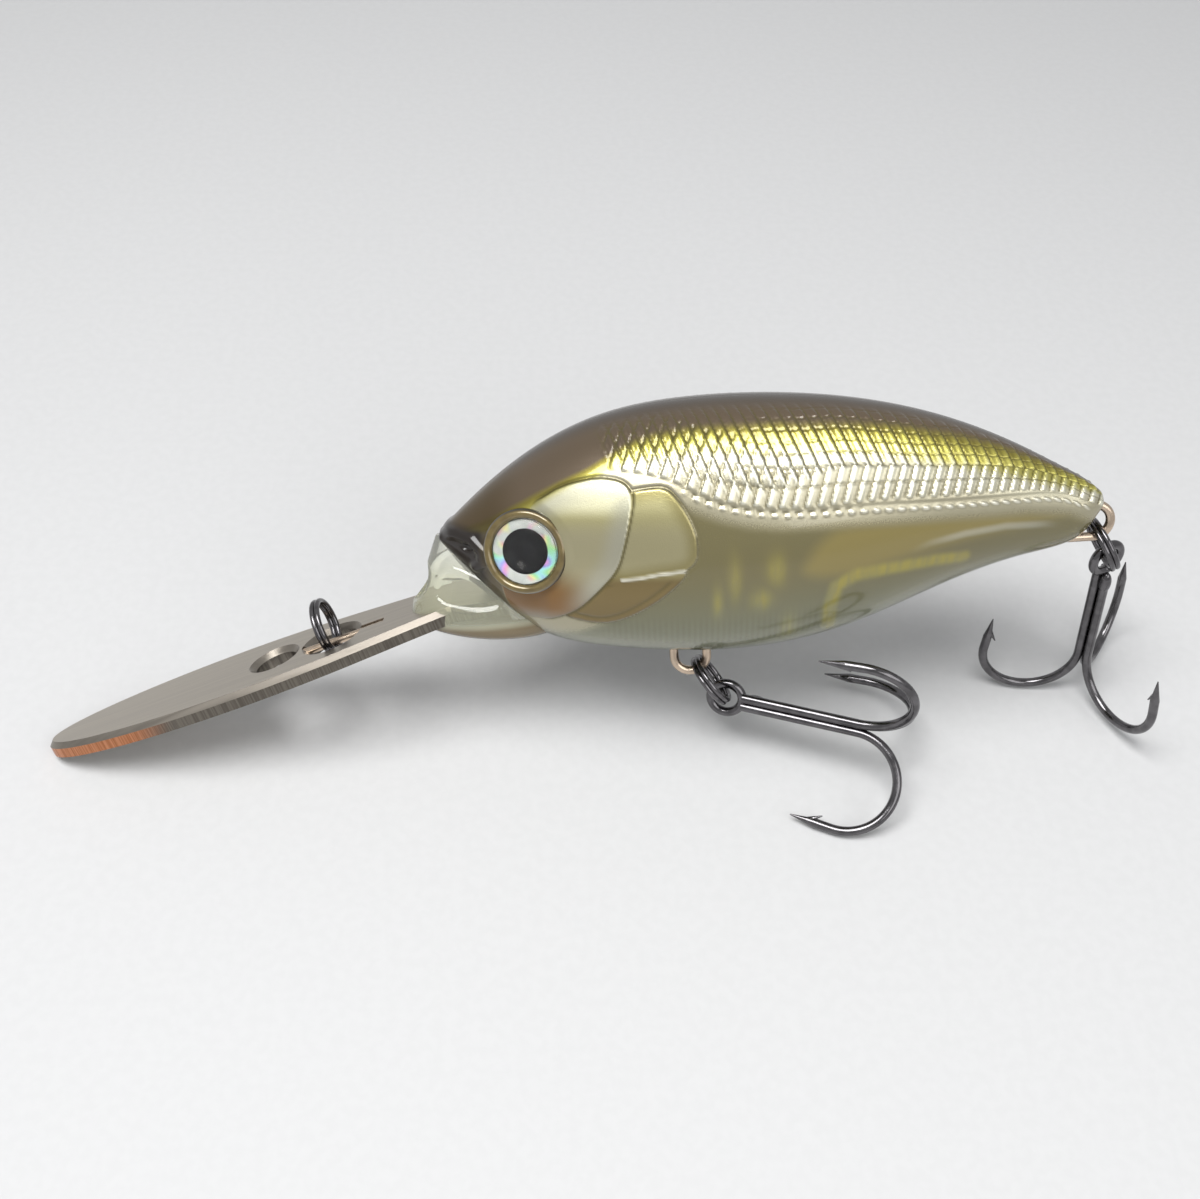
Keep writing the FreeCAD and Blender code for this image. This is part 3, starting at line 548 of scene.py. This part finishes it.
def skin_material():
    """Olive and gold scale paint over clear plastic, fading to a smoky clear belly, under a clear coat."""
    n = Nodes("painted clear body")
    crown = n.attribute("crown")
    along = n.attribute("along")
    pattern = n.attribute("pattern")
    line = n.attribute("line")
    up = n.attribute("up")
    clear = n.attribute("clear")
    front = n.attribute("front")
    cover = n.attribute("cover")
    beads = n.attribute("beads")
    shine = n.attribute("shine")
    seam = n.attribute("seam")
    streak = n.attribute("streak")
    flakes = n.noise(9000.0, 1.0)
    cloud = n.noise(160.0, 3.0)
    back = (0.098, 0.070, 0.043)
    olive = (0.185, 0.155, 0.022)
    gold = (0.45, 0.41, 0.095)
    pearl = (0.56, 0.53, 0.39)
    level = n.math("ADD", n.attribute("paint"), n.math("MULTIPLY_ADD", cloud, 0.3, -0.15))
    colour = n.mix(n.ramp(crown, 0.0, 0.12), (0.040, 0.030, 0.022), back)
    colour = n.mix(n.ramp(level, -0.25, 0.20), colour, olive)
    colour = n.mix(n.ramp(level, 0.10, 0.65), colour, gold)
    colour = n.mix(n.ramp(level, 0.70, 1.15), colour, pearl)
    # greyer pearl wherever the scales' backs take no painted highlight: painted shade
    between = n.math("MULTIPLY", n.math("SUBTRACT", 1.0, shine), n.ramp(level, 1.1, 1.8, 0.0, 0.7))
    colour = n.mix(between, colour, (0.31, 0.28, 0.19))
    # the gill covers and the head round the eye
    head = n.math("MULTIPLY", n.ramp(cover, -0.1, 0.15), n.ramp(level, 0.2, 0.9))
    cheek = n.mix(n.ramp(up, -6.6, -1.8), (0.075, 0.055, 0.014), (0.40, 0.365, 0.225))
    # a painted highlight: a pale band along the top of the front cover
    highlight_band = n.math("MULTIPLY", n.ramp(up, 2.6, 4.2), n.ramp(up, 6.3, 5.5))
    cheek = n.mix(n.ramp(up, 1.0, 5.4), cheek, (0.50, 0.46, 0.16))
    cheek = n.mix(n.math("MULTIPLY", highlight_band, n.ramp(front, -0.1, 0.3, 0.25, 0.8)), cheek, (0.90, 0.87, 0.62))
    silver = n.math("MULTIPLY", n.ramp(front, 2.6, 0.6), n.ramp(front, -0.05, 0.1))
    cheek = n.mix(n.math("MULTIPLY", silver, 0.55), cheek, (0.42, 0.42, 0.36))
    amber = n.math("MULTIPLY", n.ramp(along, 15.5, 11.0), n.ramp(up, -1.0, -4.5))
    amber = n.math("MULTIPLY", amber, n.ramp(up, -8.5, -6.0))
    cheek = n.mix(n.math("MULTIPLY", amber, 0.9), cheek, (0.190, 0.085, 0.012))
    behind = n.ramp(front, 0.1, -0.1)
    cheek = n.mix(n.math("MULTIPLY", behind, 0.45), cheek, (0.36, 0.32, 0.16))
    rear_edge = n.math("MULTIPLY", behind, n.ramp(n.attribute("rear"), 1.6, 0.2))
    cheek = n.mix(n.math("MULTIPLY", rear_edge, 0.6), cheek, (0.22, 0.18, 0.05))
    blush = n.math("MULTIPLY", behind, n.ramp(up, -2.4, -3.4))
    cheek = n.mix(n.math("MULTIPLY", blush, 0.85), cheek, (0.150, 0.100, 0.030))
    colour = n.mix(head, colour, cheek)
    snout_tint = n.math("MULTIPLY", n.ramp(along, 9.0, 5.0), n.ramp(cover, 0.1, -0.1))
    colour = n.mix(n.math("MULTIPLY", snout_tint, 0.85), colour, (0.060, 0.038, 0.012))
    # painted highlights on the backs of the scales, and painted shade in the grooves between them, in the
    # lateral line's pits and at the edges of the covers
    lit = n.mix(n.ramp(level, 0.4, 1.1), (0.62, 0.58, 0.12), (0.80, 0.79, 0.68))
    colour = n.mix(n.math("MULTIPLY", shine, n.ramp(level, -0.1, 0.6, 0.0, 0.7)), colour, lit)
    shaded_grooves = n.math("MAXIMUM", n.math("MULTIPLY", pattern, 0.78), n.math("MULTIPLY", line, 0.82))
    colour = n.mix(shaded_grooves, colour, (0.085, 0.070, 0.018))
    # painted highlights on the lateral line's beads and along the ridge of the cover seam
    highlit_ridges = n.math("MAXIMUM", n.math("MULTIPLY", beads, 0.75), n.math("MULTIPLY", seam, 0.8))
    colour = n.mix(highlit_ridges, colour, (0.80, 0.78, 0.66))
    # the smoky clear belly; the reflectors inside it are painted on the skin, their yellow edge as colour
    # and their glints as painted highlights
    smoke = n.mix(n.ramp(up, -2.0, -11.5), (0.225, 0.195, 0.085), (0.28, 0.29, 0.185))
    smoke = n.mix(n.math("MULTIPLY", n.attribute("band"), 0.6), smoke, (0.28, 0.215, 0.055))
    upright = n.drawn_noise((1100.0, 300.0, 260.0), (0.0, math.radians(12.0), 0.0), 3.0, "POINT")
    broken = n.math("MULTIPLY", n.attribute("strip"), n.ramp(upright, 0.30, 0.66, 0.25, 0.70))
    smoke = n.mix(broken, smoke, (0.38, 0.325, 0.045))
    smoke = n.mix(n.math("MULTIPLY", streak, 0.4), smoke, (0.60, 0.60, 0.52))
    smoke = n.mix(n.math("MULTIPLY", n.attribute("ribs"), 0.3), smoke, (0.17, 0.16, 0.09))
    # painted light: a pale green glow along the clear keel edge
    smoke = n.mix(n.ramp(crown, 0.90, 0.97), smoke, (0.55, 0.62, 0.48))
    colour = n.mix(clear, colour, smoke)
    beak = n.math("MULTIPLY", n.ramp(along, 5.2, 4.0), n.ramp(up, 1.6, 0.6))
    colour = n.mix(beak, colour, (0.010, 0.006, 0.004))
    see_through = n.math("MULTIPLY", clear, n.ramp(crown, 0.80, 0.97, 0.42, 0.85))
    see_through = n.math("MULTIPLY", see_through, n.math("MULTIPLY_ADD", n.attribute("band"), -0.5, 1.0))
    see_through = n.math("MULTIPLY", see_through, n.math("MULTIPLY_ADD", n.attribute("strip"), -0.6, 1.0))
    metal = n.math("MULTIPLY", n.math("SUBTRACT", 1.0, clear), n.ramp(level, -0.3, 0.5, 0.25, 0.80))
    metal = n.math("MULTIPLY", metal, n.math("SUBTRACT", 1.0, beak))
    low_cheek = n.math("MULTIPLY", head, n.ramp(up, -1.5, -5.5))
    metal = n.math("MULTIPLY", metal, n.math("MULTIPLY_ADD", low_cheek, -0.9, 1.0))
    rough = n.math("MULTIPLY_ADD", flakes, 0.2, 0.24)
    rough = n.math("MULTIPLY_ADD", clear, -0.16, rough)
    bump = n.bump(flakes, 0.3)
    return n.finish(
        Base_Color=colour, Metallic=metal, Roughness=rough, Normal=bump, Transmission_Weight=see_through,
        IOR=1.45, Specular_IOR_Level=0.3, Coat_Weight=0.6, Coat_Roughness=0.05, Coat_IOR=1.5,
    )


def plain_material(name, colour, metallic=0.0, roughness=0.4, grain=400.0, spread=0.15, **inputs):
    """A finish with a slight mottle in colour and roughness."""
    n = Nodes(name)
    speck = n.noise(grain, 3.0)
    darker = tuple(c * (1 - spread) for c in colour)
    lighter = tuple(min(1.0, c * (1 + spread)) for c in colour)
    base = n.mix(n.ramp(speck, 0.3, 0.7), darker, lighter)
    rough = n.ramp(speck, 0.3, 0.7, max(0.0, roughness - 0.06), roughness + 0.06)
    return n.finish(Base_Color=base, Metallic=metallic, Roughness=rough, **inputs)


def iris_material():
    """Silvered film that breaks light into patches of colour."""
    n = Nodes("rainbow film")
    cells = n.tree.nodes.new("ShaderNodeTexVoronoi")
    cells.inputs["Scale"].default_value = 700.0
    n.tree.links.new(n.place(), cells.inputs["Vector"])
    hue = n.tree.nodes.new("ShaderNodeCombineColor")
    hue.mode = "HSV"
    shift = n.math("MULTIPLY_ADD", n.noise(420.0, 1.0), 2.4, 0.1)
    n.tree.links.new(n.math("FRACT", shift), hue.inputs[0])
    hue.inputs[1].default_value = 0.55
    hue.inputs[2].default_value = 0.95
    silver = n.mix(cells.outputs["Distance"], (0.85, 0.87, 0.85), (0.60, 0.64, 0.62))
    patch = n.ramp(n.noise(500.0, 1.0), 0.46, 0.60)
    colour = n.mix(n.math("MULTIPLY", patch, 0.9), silver, hue.outputs[0])
    return n.finish(Base_Color=colour, Metallic=0.40, Roughness=0.34)


def jaw_material():
    """Clear plastic that yellows towards the chin."""
    n = Nodes("clear jaw plastic")
    up = n.attribute("up")
    tint = n.mix(n.ramp(up, -1.0, -7.0), (0.92, 0.93, 0.84), (0.84, 0.85, 0.64))
    tint = n.mix(n.ramp(up, -8.2, -9.4), tint, (0.20, 0.155, 0.090))
    rough = n.ramp(n.noise(300.0, 2.0), 0.3, 0.7, 0.03, 0.10)
    through = n.ramp(up, -8.2, -9.4, 0.80, 0.2)
    return n.finish(
        Base_Color=tint, Roughness=rough, Transmission_Weight=through, IOR=1.22, Coat_Weight=0.8,
        Coat_Roughness=0.03,
    )


def lip_material():
    """Satin metal brushed along its length, with a painted coppery reflection on the edge round the tip."""
    n = Nodes("brushed lip metal")
    lie = (TURN @ Matrix.Rotation(-LIP_ANGLE, 3, "Y")).to_euler()
    streak = n.drawn_noise((1 / 60.0, 1 / 3000.0, 1 / 3000.0), lie, 3.0)
    cuts = n.drawn_noise((1 / 5200.0, 1 / 500.0, 1 / 100.0), lie)
    colour = n.mix(n.ramp(streak, 0.3, 0.7), (0.37, 0.33, 0.28), (0.46, 0.42, 0.36))
    shape = n.tree.nodes.new("ShaderNodeNewGeometry")
    dot = n.tree.nodes.new("ShaderNodeVectorMath")
    dot.operation = "DOT_PRODUCT"
    n.tree.links.new(shape.outputs["True Normal"], dot.inputs[0])
    dot.inputs[1].default_value = tuple(TURN @ Vector((-math.sin(LIP_ANGLE), 0.0, math.cos(LIP_ANGLE))))
    tilt = n.math("ABSOLUTE", dot.outputs["Value"])
    # a painted reflection of warm light: coppery on the edge faces round the tip
    copper_reflection = n.math("MULTIPLY", n.ramp(tilt, 0.55, 0.25), n.ramp(n.part_of(n.place(), "X"), -0.043, -0.048))
    side_face = n.ramp(tilt, 0.45, 0.30)
    side_colour = n.mix(n.ramp(cuts, 0.35, 0.65), (0.13, 0.115, 0.098), (0.20, 0.18, 0.152))
    bevel = n.math("MULTIPLY", n.ramp(tilt, 0.97, 0.90), n.ramp(tilt, 0.40, 0.55))
    colour = n.mix(n.math("MULTIPLY", bevel, 0.75), colour, (0.20, 0.18, 0.155))
    colour = n.mix(side_face, colour, side_colour)
    copper_reflection_colour = n.mix(n.ramp(cuts, 0.35, 0.65), (0.42, 0.16, 0.07), (0.62, 0.27, 0.14))
    colour = n.mix(n.math("MULTIPLY", copper_reflection, 0.9), colour, copper_reflection_colour)
    rough = n.ramp(streak, 0.3, 0.7, 0.30, 0.42)
    grain = n.math("MULTIPLY", streak, n.ramp(tilt, 0.93, 0.99))
    bump = n.bump(n.math("ADD", n.math("MULTIPLY", side_face, cuts), grain), 0.12)
    return n.finish(Base_Color=colour, Metallic=1.0, Roughness=rough, Normal=bump)


def rim_material():
    """The painted rim round the eye: olive brown under clear coat, black in its grooves."""
    n = Nodes("eye rim paint")
    groove_mask = n.attribute("groove")
    speck = n.noise(900.0, 2.0)
    colour = n.mix(n.ramp(speck, 0.3, 0.7), (0.115, 0.080, 0.022), (0.165, 0.120, 0.036))
    shape = n.tree.nodes.new("ShaderNodeNewGeometry")
    facing_up = n.part_of(shape.outputs["Normal"], "Z")
    # painted light: the rim turns lighter champagne where it faces down
    colour = n.mix(n.ramp(facing_up, 0.1, -0.6), colour, (0.40, 0.35, 0.18))
    colour = n.mix(groove_mask, colour, (0.012, 0.009, 0.004))
    return n.finish(Base_Color=colour, Metallic=0.35, Roughness=0.28, Coat_Weight=1.0, Coat_Roughness=0.05)


MATERIALS = {
    "skin": skin_material(),
    "iris": iris_material(),
    "jaw": jaw_material(),
    "rim": rim_material(),
    "lens": plain_material(
        "eye lens", (0.97, 0.97, 0.95), 0.0, 0.07, 300.0, 0.02, Transmission_Weight=1.0, IOR=1.18,
    ),
    "clear": plain_material(
        "clear plastic", (0.93, 0.92, 0.84), 0.0, 0.07, 300.0, 0.03, Transmission_Weight=1.0, IOR=1.42,
    ),
    "lip": lip_material(),
    "wire": plain_material("drawn wire", (0.55, 0.44, 0.34), 1.0, 0.25, 700.0, 0.12),
    "nickel": plain_material("black nickel", (0.13, 0.125, 0.13), 1.0, 0.17, 900.0, 0.2),
    "gold foil": plain_material("gold film", (0.62, 0.50, 0.12), 1.0, 0.3, 500.0, 0.2),
    "ink": plain_material("black ink", (0.006, 0.006, 0.008), 0.0, 0.15, 900.0, 0.2),
    "weight": plain_material("turned brass", (0.45, 0.38, 0.2), 1.0, 0.35, 700.0, 0.15),
}

FINISH = {
    "diving_lip": "lip", "line_tie_wire": "wire", "belly_hanger": "wire", "tail_hanger": "wire",
    "right_flash_foil": "gold foil", "left_flash_foil": "gold foil",
    "belly_ballast": "weight", "weight_chamber": "clear", "casting_weight": "weight",
    "belly_split_ring": "nickel", "tail_split_ring": "nickel", "line_tie_ring": "nickel",
    "belly_treble_double_hook": "nickel", "belly_treble_single_hook": "nickel",
    "tail_treble_double_hook": "nickel", "tail_treble_single_hook": "nickel",
}

for node_name, finish in FINISH.items():
    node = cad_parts[node_name]
    node.data.materials.clear()
    node.data.materials.append(MATERIALS[finish])


# ---------------------------------------------------------------- eyes and mouth

EYE_TOE = math.radians(13.0)
EYE_TILT = math.radians(9.0)
EYE_FLOOR = -0.12  # the foil's back, measured along the eye's axis from the skin
FOIL_RADIUS, PUPIL_RADIUS, LENS_RADIUS = 3.12, 2.16, 3.10
LENS_BULGE, LENS_STEPS = 0.46, 14
TURNS = 96
# radius, height and depth of shade round the eye
RIM = [
    (4.10, -0.80, 1.0), (4.10, 0.02, 1.0), (4.05, 0.16, 1.0), (3.98, 0.26, 0.6), (3.90, 0.36, 0.0),
    (3.78, 0.43, 0.0), (3.62, 0.45, 0.0), (3.46, 0.40, 0.0), (3.34, 0.30, 0.0), (3.24, 0.16, 0.3),
    (3.18, 0.02, 0.9), (3.14, -0.30, 1.0), (3.12, -0.90, 1.0),
]


def eye_axes(side):
    """An eye's centre on the flank and its three axes; the third looks outwards."""
    x, z = EYE_SEAT
    top, keel = float(top_line(x)), float(keel_line(x))
    waist = keel + WAIST * (top - keel)
    part = (z - waist) / (top - waist) if z > waist else (waist - z) / (waist - keel)
    y = float(half_width(x)) * math.sqrt(1 - part * part)
    across = side * math.cos(EYE_TOE) * math.cos(EYE_TILT)
    look = np.array([-math.sin(EYE_TOE), across, math.sin(EYE_TILT)])
    look /= np.linalg.norm(look)
    first = np.cross([0.0, 0.0, 1.0], look)
    first /= np.linalg.norm(first)
    return np.array([x, side * y, z]), first, np.cross(look, first), look


def turned(name, side, profile, material, hollow=False):
    """A closed round piece about an eye's axis, from a profile of (radius, height) and a mark."""
    centre, first, second, look = eye_axes(side)
    ring = np.linspace(0, 2 * math.pi, TURNS, endpoint=False)
    verts, marks = [], []
    for radius, height, *mark in profile:
        for angle in ring:
            spoke = math.cos(angle) * first + math.sin(angle) * second
            verts.append(centre + radius * spoke + height * look)
            marks.append(mark[0] if mark else 0.0)
    last = (len(profile) - 1) * TURNS
    faces = grid_faces(len(profile), TURNS, wrap=True)
    if hollow:
        for j in range(TURNS):
            k = (j + 1) % TURNS
            faces.append((last + j, last + k, k, j))
    else:
        faces.append(tuple(range(TURNS))[::-1])
        faces.append(tuple(last + j for j in range(TURNS)))
    return new_object(name, verts, faces, "lure", material, attributes={"groove": marks})


def eye(side_name):
    """The eye's foil, pupil and lens, and the rim that holds them."""
    side = SIDES[side_name]
    foil = [
        (FOIL_RADIUS, EYE_FLOOR - 0.15), (FOIL_RADIUS, EYE_FLOOR), (3.0, EYE_FLOOR + 0.02),
        (0.02, EYE_FLOOR + 0.02),
    ]
    pupil = [
        (PUPIL_RADIUS, EYE_FLOOR + 0.03), (PUPIL_RADIUS, EYE_FLOOR + 0.09), (2.12, EYE_FLOOR + 0.12),
        (0.02, EYE_FLOOR + 0.13),
    ]
    lens = [(LENS_RADIUS, EYE_FLOOR + 0.17)]
    for step in range(LENS_STEPS + 1):
        angle = step / LENS_STEPS * math.radians(86)
        height = EYE_FLOOR + 0.24 + LENS_BULGE * math.sin(angle)
        lens.append((LENS_RADIUS * math.cos(angle) ** 0.9, height))
    pieces = [
        ("eye_foil", foil, "iris", "mirror_foil"), ("eye_pupil", pupil, "ink", "black_ink"),
        ("eye_lens", lens, "lens", "clear_plastic"), ("eye_rim", RIM, "rim", "painted_shell"),
    ]
    for part, profile, finish, slot_name in pieces:
        own_piece = part == "eye_rim"
        name = side_name + "_" + part + "_dressed"
        thing = turned(name, side, profile, MATERIALS[finish], hollow=own_piece)
        if not own_piece:
            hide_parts(side_name + "_" + part)


# height, front, back and half width of the clear jaw
JAW_LEVELS = np.array([
    (-0.5, -0.5, 5.6, 1.5),
    (-2.4, -1.3, 8.0, 2.6),
    (-5.0, -2.4, 10.0, 3.7),
    (-7.8, -3.6, 11.4, 4.3),
    (-9.6, -2.5, 11.8, 4.3),
    (-10.5, 0.4, 11.2, 3.6),
    (-11.1, 3.0, 10.4, 2.2),
])
MOUTH_WINDOW = [
    (0.6, -3.2), (2.2, -3.6), (4.6, -5.0), (6.0, -6.6), (4.6, -7.2), (1.6, -7.0), (-0.8, -6.4), (-0.6, -4.4),
]
SCOOP_RADIUS, SCOOP_X, SCOOP_Z = 2.6, -3.6, -4.6


def clear_mouth():
    """The clear jaw: an upper jaw hollowed at the front, and a chin under the lip."""
    rows, columns = 150, 180
    heights = np.linspace(JAW_LEVELS[0, 0], JAW_LEVELS[-1, 0], rows)
    order = JAW_LEVELS[::-1]
    front = curve_through(order[:, 0], order[:, 1])(heights)
    back = curve_through(order[:, 0], order[:, 2])(heights)
    half = curve_through(order[:, 0], order[:, 3])(heights)
    ring = np.linspace(0, 2 * math.pi, columns, endpoint=False)
    middle, reach = (front + back) / 2, (back - front) / 2
    x = middle[:, None] - reach[:, None] * np.cos(ring)
    y = half[:, None] * np.sin(ring)
    z = np.repeat(heights[:, None], columns, axis=1)
    depth = SCOOP_RADIUS ** 2 - y ** 2 - (z - SCOOP_Z) ** 2
    bottom = SCOOP_X + np.sqrt(np.maximum(depth, 0))
    scoop = (depth > 0) & (x < bottom) & (np.cos(ring)[None, :] > 0)
    x = np.where(scoop, bottom, x)
    # a shallow window on each side, with a fine ridge round it
    window = signed_distance(x, z, rounded(MOUTH_WINDOW))
    flank = np.abs(np.sin(ring))[None, :] > 0.2
    ridge = 1 - ramp(np.abs(window + 0.2), 0.05, 0.2)
    y = y - np.sign(y) * flank * (0.20 * ramp(window, 0.0, 0.35) - 0.07 * ridge)
    verts = np.stack([x, y, z], axis=-1).reshape(-1, 3)
    faces = grid_faces(rows, columns, wrap=True)
    faces.append(tuple(range(columns))[::-1])
    faces.append(tuple((rows - 1) * columns + j for j in range(columns)))
    faces = [f[::-1] for f in faces]
    thing = new_object("clear_mouth", verts, faces, "lure", MATERIALS["jaw"], attributes={"up": verts[:, 2]})
    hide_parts("clear_jaw")


BRAZE_RADIUS, BRAZE_HALF_LENGTH, BRAZE_DEPTH = 0.62, 1.30, 0.30
END_FACE_REACH = 0.9


def braze(treble, ring_name):
    """The drop of braze that closes the single hook's shank against the double hook."""
    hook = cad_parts[treble + "_single_hook"]
    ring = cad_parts[ring_name]
    points = np.array([hook.matrix_world @ v.co for v in hook.data.vertices]) / MM
    anchor = np.mean([ring.matrix_world @ v.co for v in ring.data.vertices], axis=0) / MM
    reach = np.linalg.norm(points - anchor, axis=1)
    end_face = points[reach < reach.min() + END_FACE_REACH]
    top = end_face.mean(axis=0)
    shank = np.linalg.svd(end_face - top)[2][2]
    shank *= np.sign(shank @ (top - anchor))
    local = np.linalg.inv(TURN_ARRAY)
    bm = bmesh.new()
    bmesh.ops.create_uvsphere(bm, u_segments=32, v_segments=24, radius=1.0)
    bm.verts.index_update()
    steer = Vector(shank).to_track_quat("Z", "Y").to_matrix()
    centre = Vector(top + BRAZE_DEPTH * shank)
    verts = []
    for v in bm.verts:
        x, y, z = v.co
        drop = Vector((x * BRAZE_RADIUS, y * BRAZE_RADIUS, z * BRAZE_HALF_LENGTH))
        verts.append(local @ np.array(steer @ drop + centre - REST_SHIFT))
    faces = [tuple(v.index for v in f.verts) for f in bm.faces]
    bm.free()
    thing = new_object(treble + "_braze", np.array(verts), faces, treble, MATERIALS["nickel"])


braze("belly_treble", "belly_split_ring")
braze("tail_treble", "tail_split_ring")
for side_name in SIDES:
    skin(side_name, MATERIALS["skin"])
    eye(side_name)
clear_mouth()

# ---------------------------------------------------------------- floor, light and camera

BACKDROP = (0.60, 0.605, 0.61, 1.0)
FADE_START, FADE_END = 0.14, 0.50
LIGHT, LIGHT_STRENGTH = (0.80, 0.82, 0.85, 1.0), 0.36
FLOOR_HALF = 3.0
UNDER_LURE = (0.0, 0.0, 0.01)
# the camera's place, and the way back from the lure and to the right, in the lure's own frame
CAMERA_PLACE = Vector((18.8, -138.3, 48.65))
CAMERA_BACK = Vector((0.0244, -0.9243, 0.3810))
CAMERA_RIGHT = Vector((0.998, 0.0, -0.064))


def seen(tree):
    """1 where the camera sees the surface, straight on, mirrored or through something clear."""
    path = tree.nodes.new("ShaderNodeLightPath")
    total = path.outputs["Is Camera Ray"]
    for kind in ("Is Glossy Ray", "Is Transmission Ray"):
        either = tree.nodes.new("ShaderNodeMath")
        either.operation = "MAXIMUM"
        tree.links.new(total, either.inputs[0])
        tree.links.new(path.outputs[kind], either.inputs[1])
        total = either.outputs[0]
    return total


def fade_to_backdrop(material):
    """Far from the lure the floor takes the backdrop's shade, so that no horizon shows."""
    tree = material.node_tree
    output = next(node for node in tree.nodes if node.type == "OUTPUT_MATERIAL")
    surface = output.inputs["Surface"].links[0].from_socket
    place = tree.nodes.new("ShaderNodeTexCoord")
    far = tree.nodes.new("ShaderNodeVectorMath")
    far.operation = "LENGTH"
    fade = tree.nodes.new("ShaderNodeMapRange")
    fade.interpolation_type = "SMOOTHSTEP"
    fade.inputs["From Min"].default_value = FADE_START
    fade.inputs["From Max"].default_value = FADE_END
    share = tree.nodes.new("ShaderNodeMath")
    share.operation = "MULTIPLY"
    glow = tree.nodes.new("ShaderNodeEmission")
    glow.inputs["Color"].default_value = BACKDROP
    join = tree.nodes.new("ShaderNodeMixShader")
    tree.links.new(place.outputs["Object"], far.inputs[0])
    tree.links.new(far.outputs["Value"], fade.inputs["Value"])
    tree.links.new(fade.outputs["Result"], share.inputs[0])
    tree.links.new(seen(tree), share.inputs[1])
    tree.links.new(share.outputs[0], join.inputs["Fac"])
    tree.links.new(surface, join.inputs[1])
    tree.links.new(glow.outputs[0], join.inputs[2])
    tree.links.new(join.outputs[0], output.inputs["Surface"])
    return material


def studio():
    """Soft light from all round, and the backdrop's shade where it is seen."""
    world = bpy.data.worlds.new("studio")
    world.use_nodes = True
    tree = world.node_tree
    light = tree.nodes["Background"]
    light.inputs["Color"].default_value = LIGHT
    light.inputs["Strength"].default_value = LIGHT_STRENGTH
    backdrop = tree.nodes.new("ShaderNodeBackground")
    backdrop.inputs["Color"].default_value = BACKDROP
    join = tree.nodes.new("ShaderNodeMixShader")
    tree.links.new(seen(tree), join.inputs["Fac"])
    tree.links.new(light.outputs[0], join.inputs[1])
    tree.links.new(backdrop.outputs[0], join.inputs[2])
    tree.links.new(join.outputs[0], tree.nodes["World Output"].inputs["Surface"])
    bpy.context.scene.world = world


def floor():
    bm = bmesh.new()
    bmesh.ops.create_grid(bm, x_segments=1, y_segments=1, size=FLOOR_HALF)
    mesh = bpy.data.meshes.new("floor")
    bm.to_mesh(mesh)
    bm.free()
    plain = plain_material("pale floor", (0.60, 0.60, 0.60), 0.0, 0.75, 900.0, 0.015)
    mesh.materials.append(fade_to_backdrop(plain))
    thing = bpy.data.objects.new("floor", mesh)
    bpy.context.scene.collection.objects.link(thing)


def lamp(name, position, target, size, power):
    light = bpy.data.lights.new(name, "AREA")
    light.shape = "RECTANGLE"
    light.size, light.size_y = size
    light.energy = power
    thing = bpy.data.objects.new(name, light)
    thing.location = position
    thing.rotation_euler = (Vector(target) - Vector(position)).to_track_quat("-Z", "Y").to_euler()
    bpy.context.scene.collection.objects.link(thing)


def camera():
    lens = bpy.data.cameras.new("camera")
    lens.lens = 45.0
    lens.sensor_width = 36.0
    lens.clip_start = 0.005
    place = REST_SHIFT + TURN @ CAMERA_PLACE
    back = (TURN @ CAMERA_BACK).normalized()
    right = (TURN @ CAMERA_RIGHT).normalized()
    up = back.cross(right).normalized()
    right = up.cross(back).normalized()
    matrix = Matrix((right, up, back)).transposed().to_4x4()
    matrix.translation = place * MM
    thing = bpy.data.objects.new("camera", lens)
    bpy.context.scene.collection.objects.link(thing)
    thing.matrix_world = matrix
    bpy.context.scene.camera = thing


floor()
lamp("key light", (-0.10, -0.10, 0.45), UNDER_LURE, (0.30, 0.22), 2.4)
lamp("fill light", (0.25, -0.30, 0.30), UNDER_LURE, (0.4, 0.3), 0.8)
studio()
bpy.context.scene.view_settings.view_transform = "Standard"
camera()
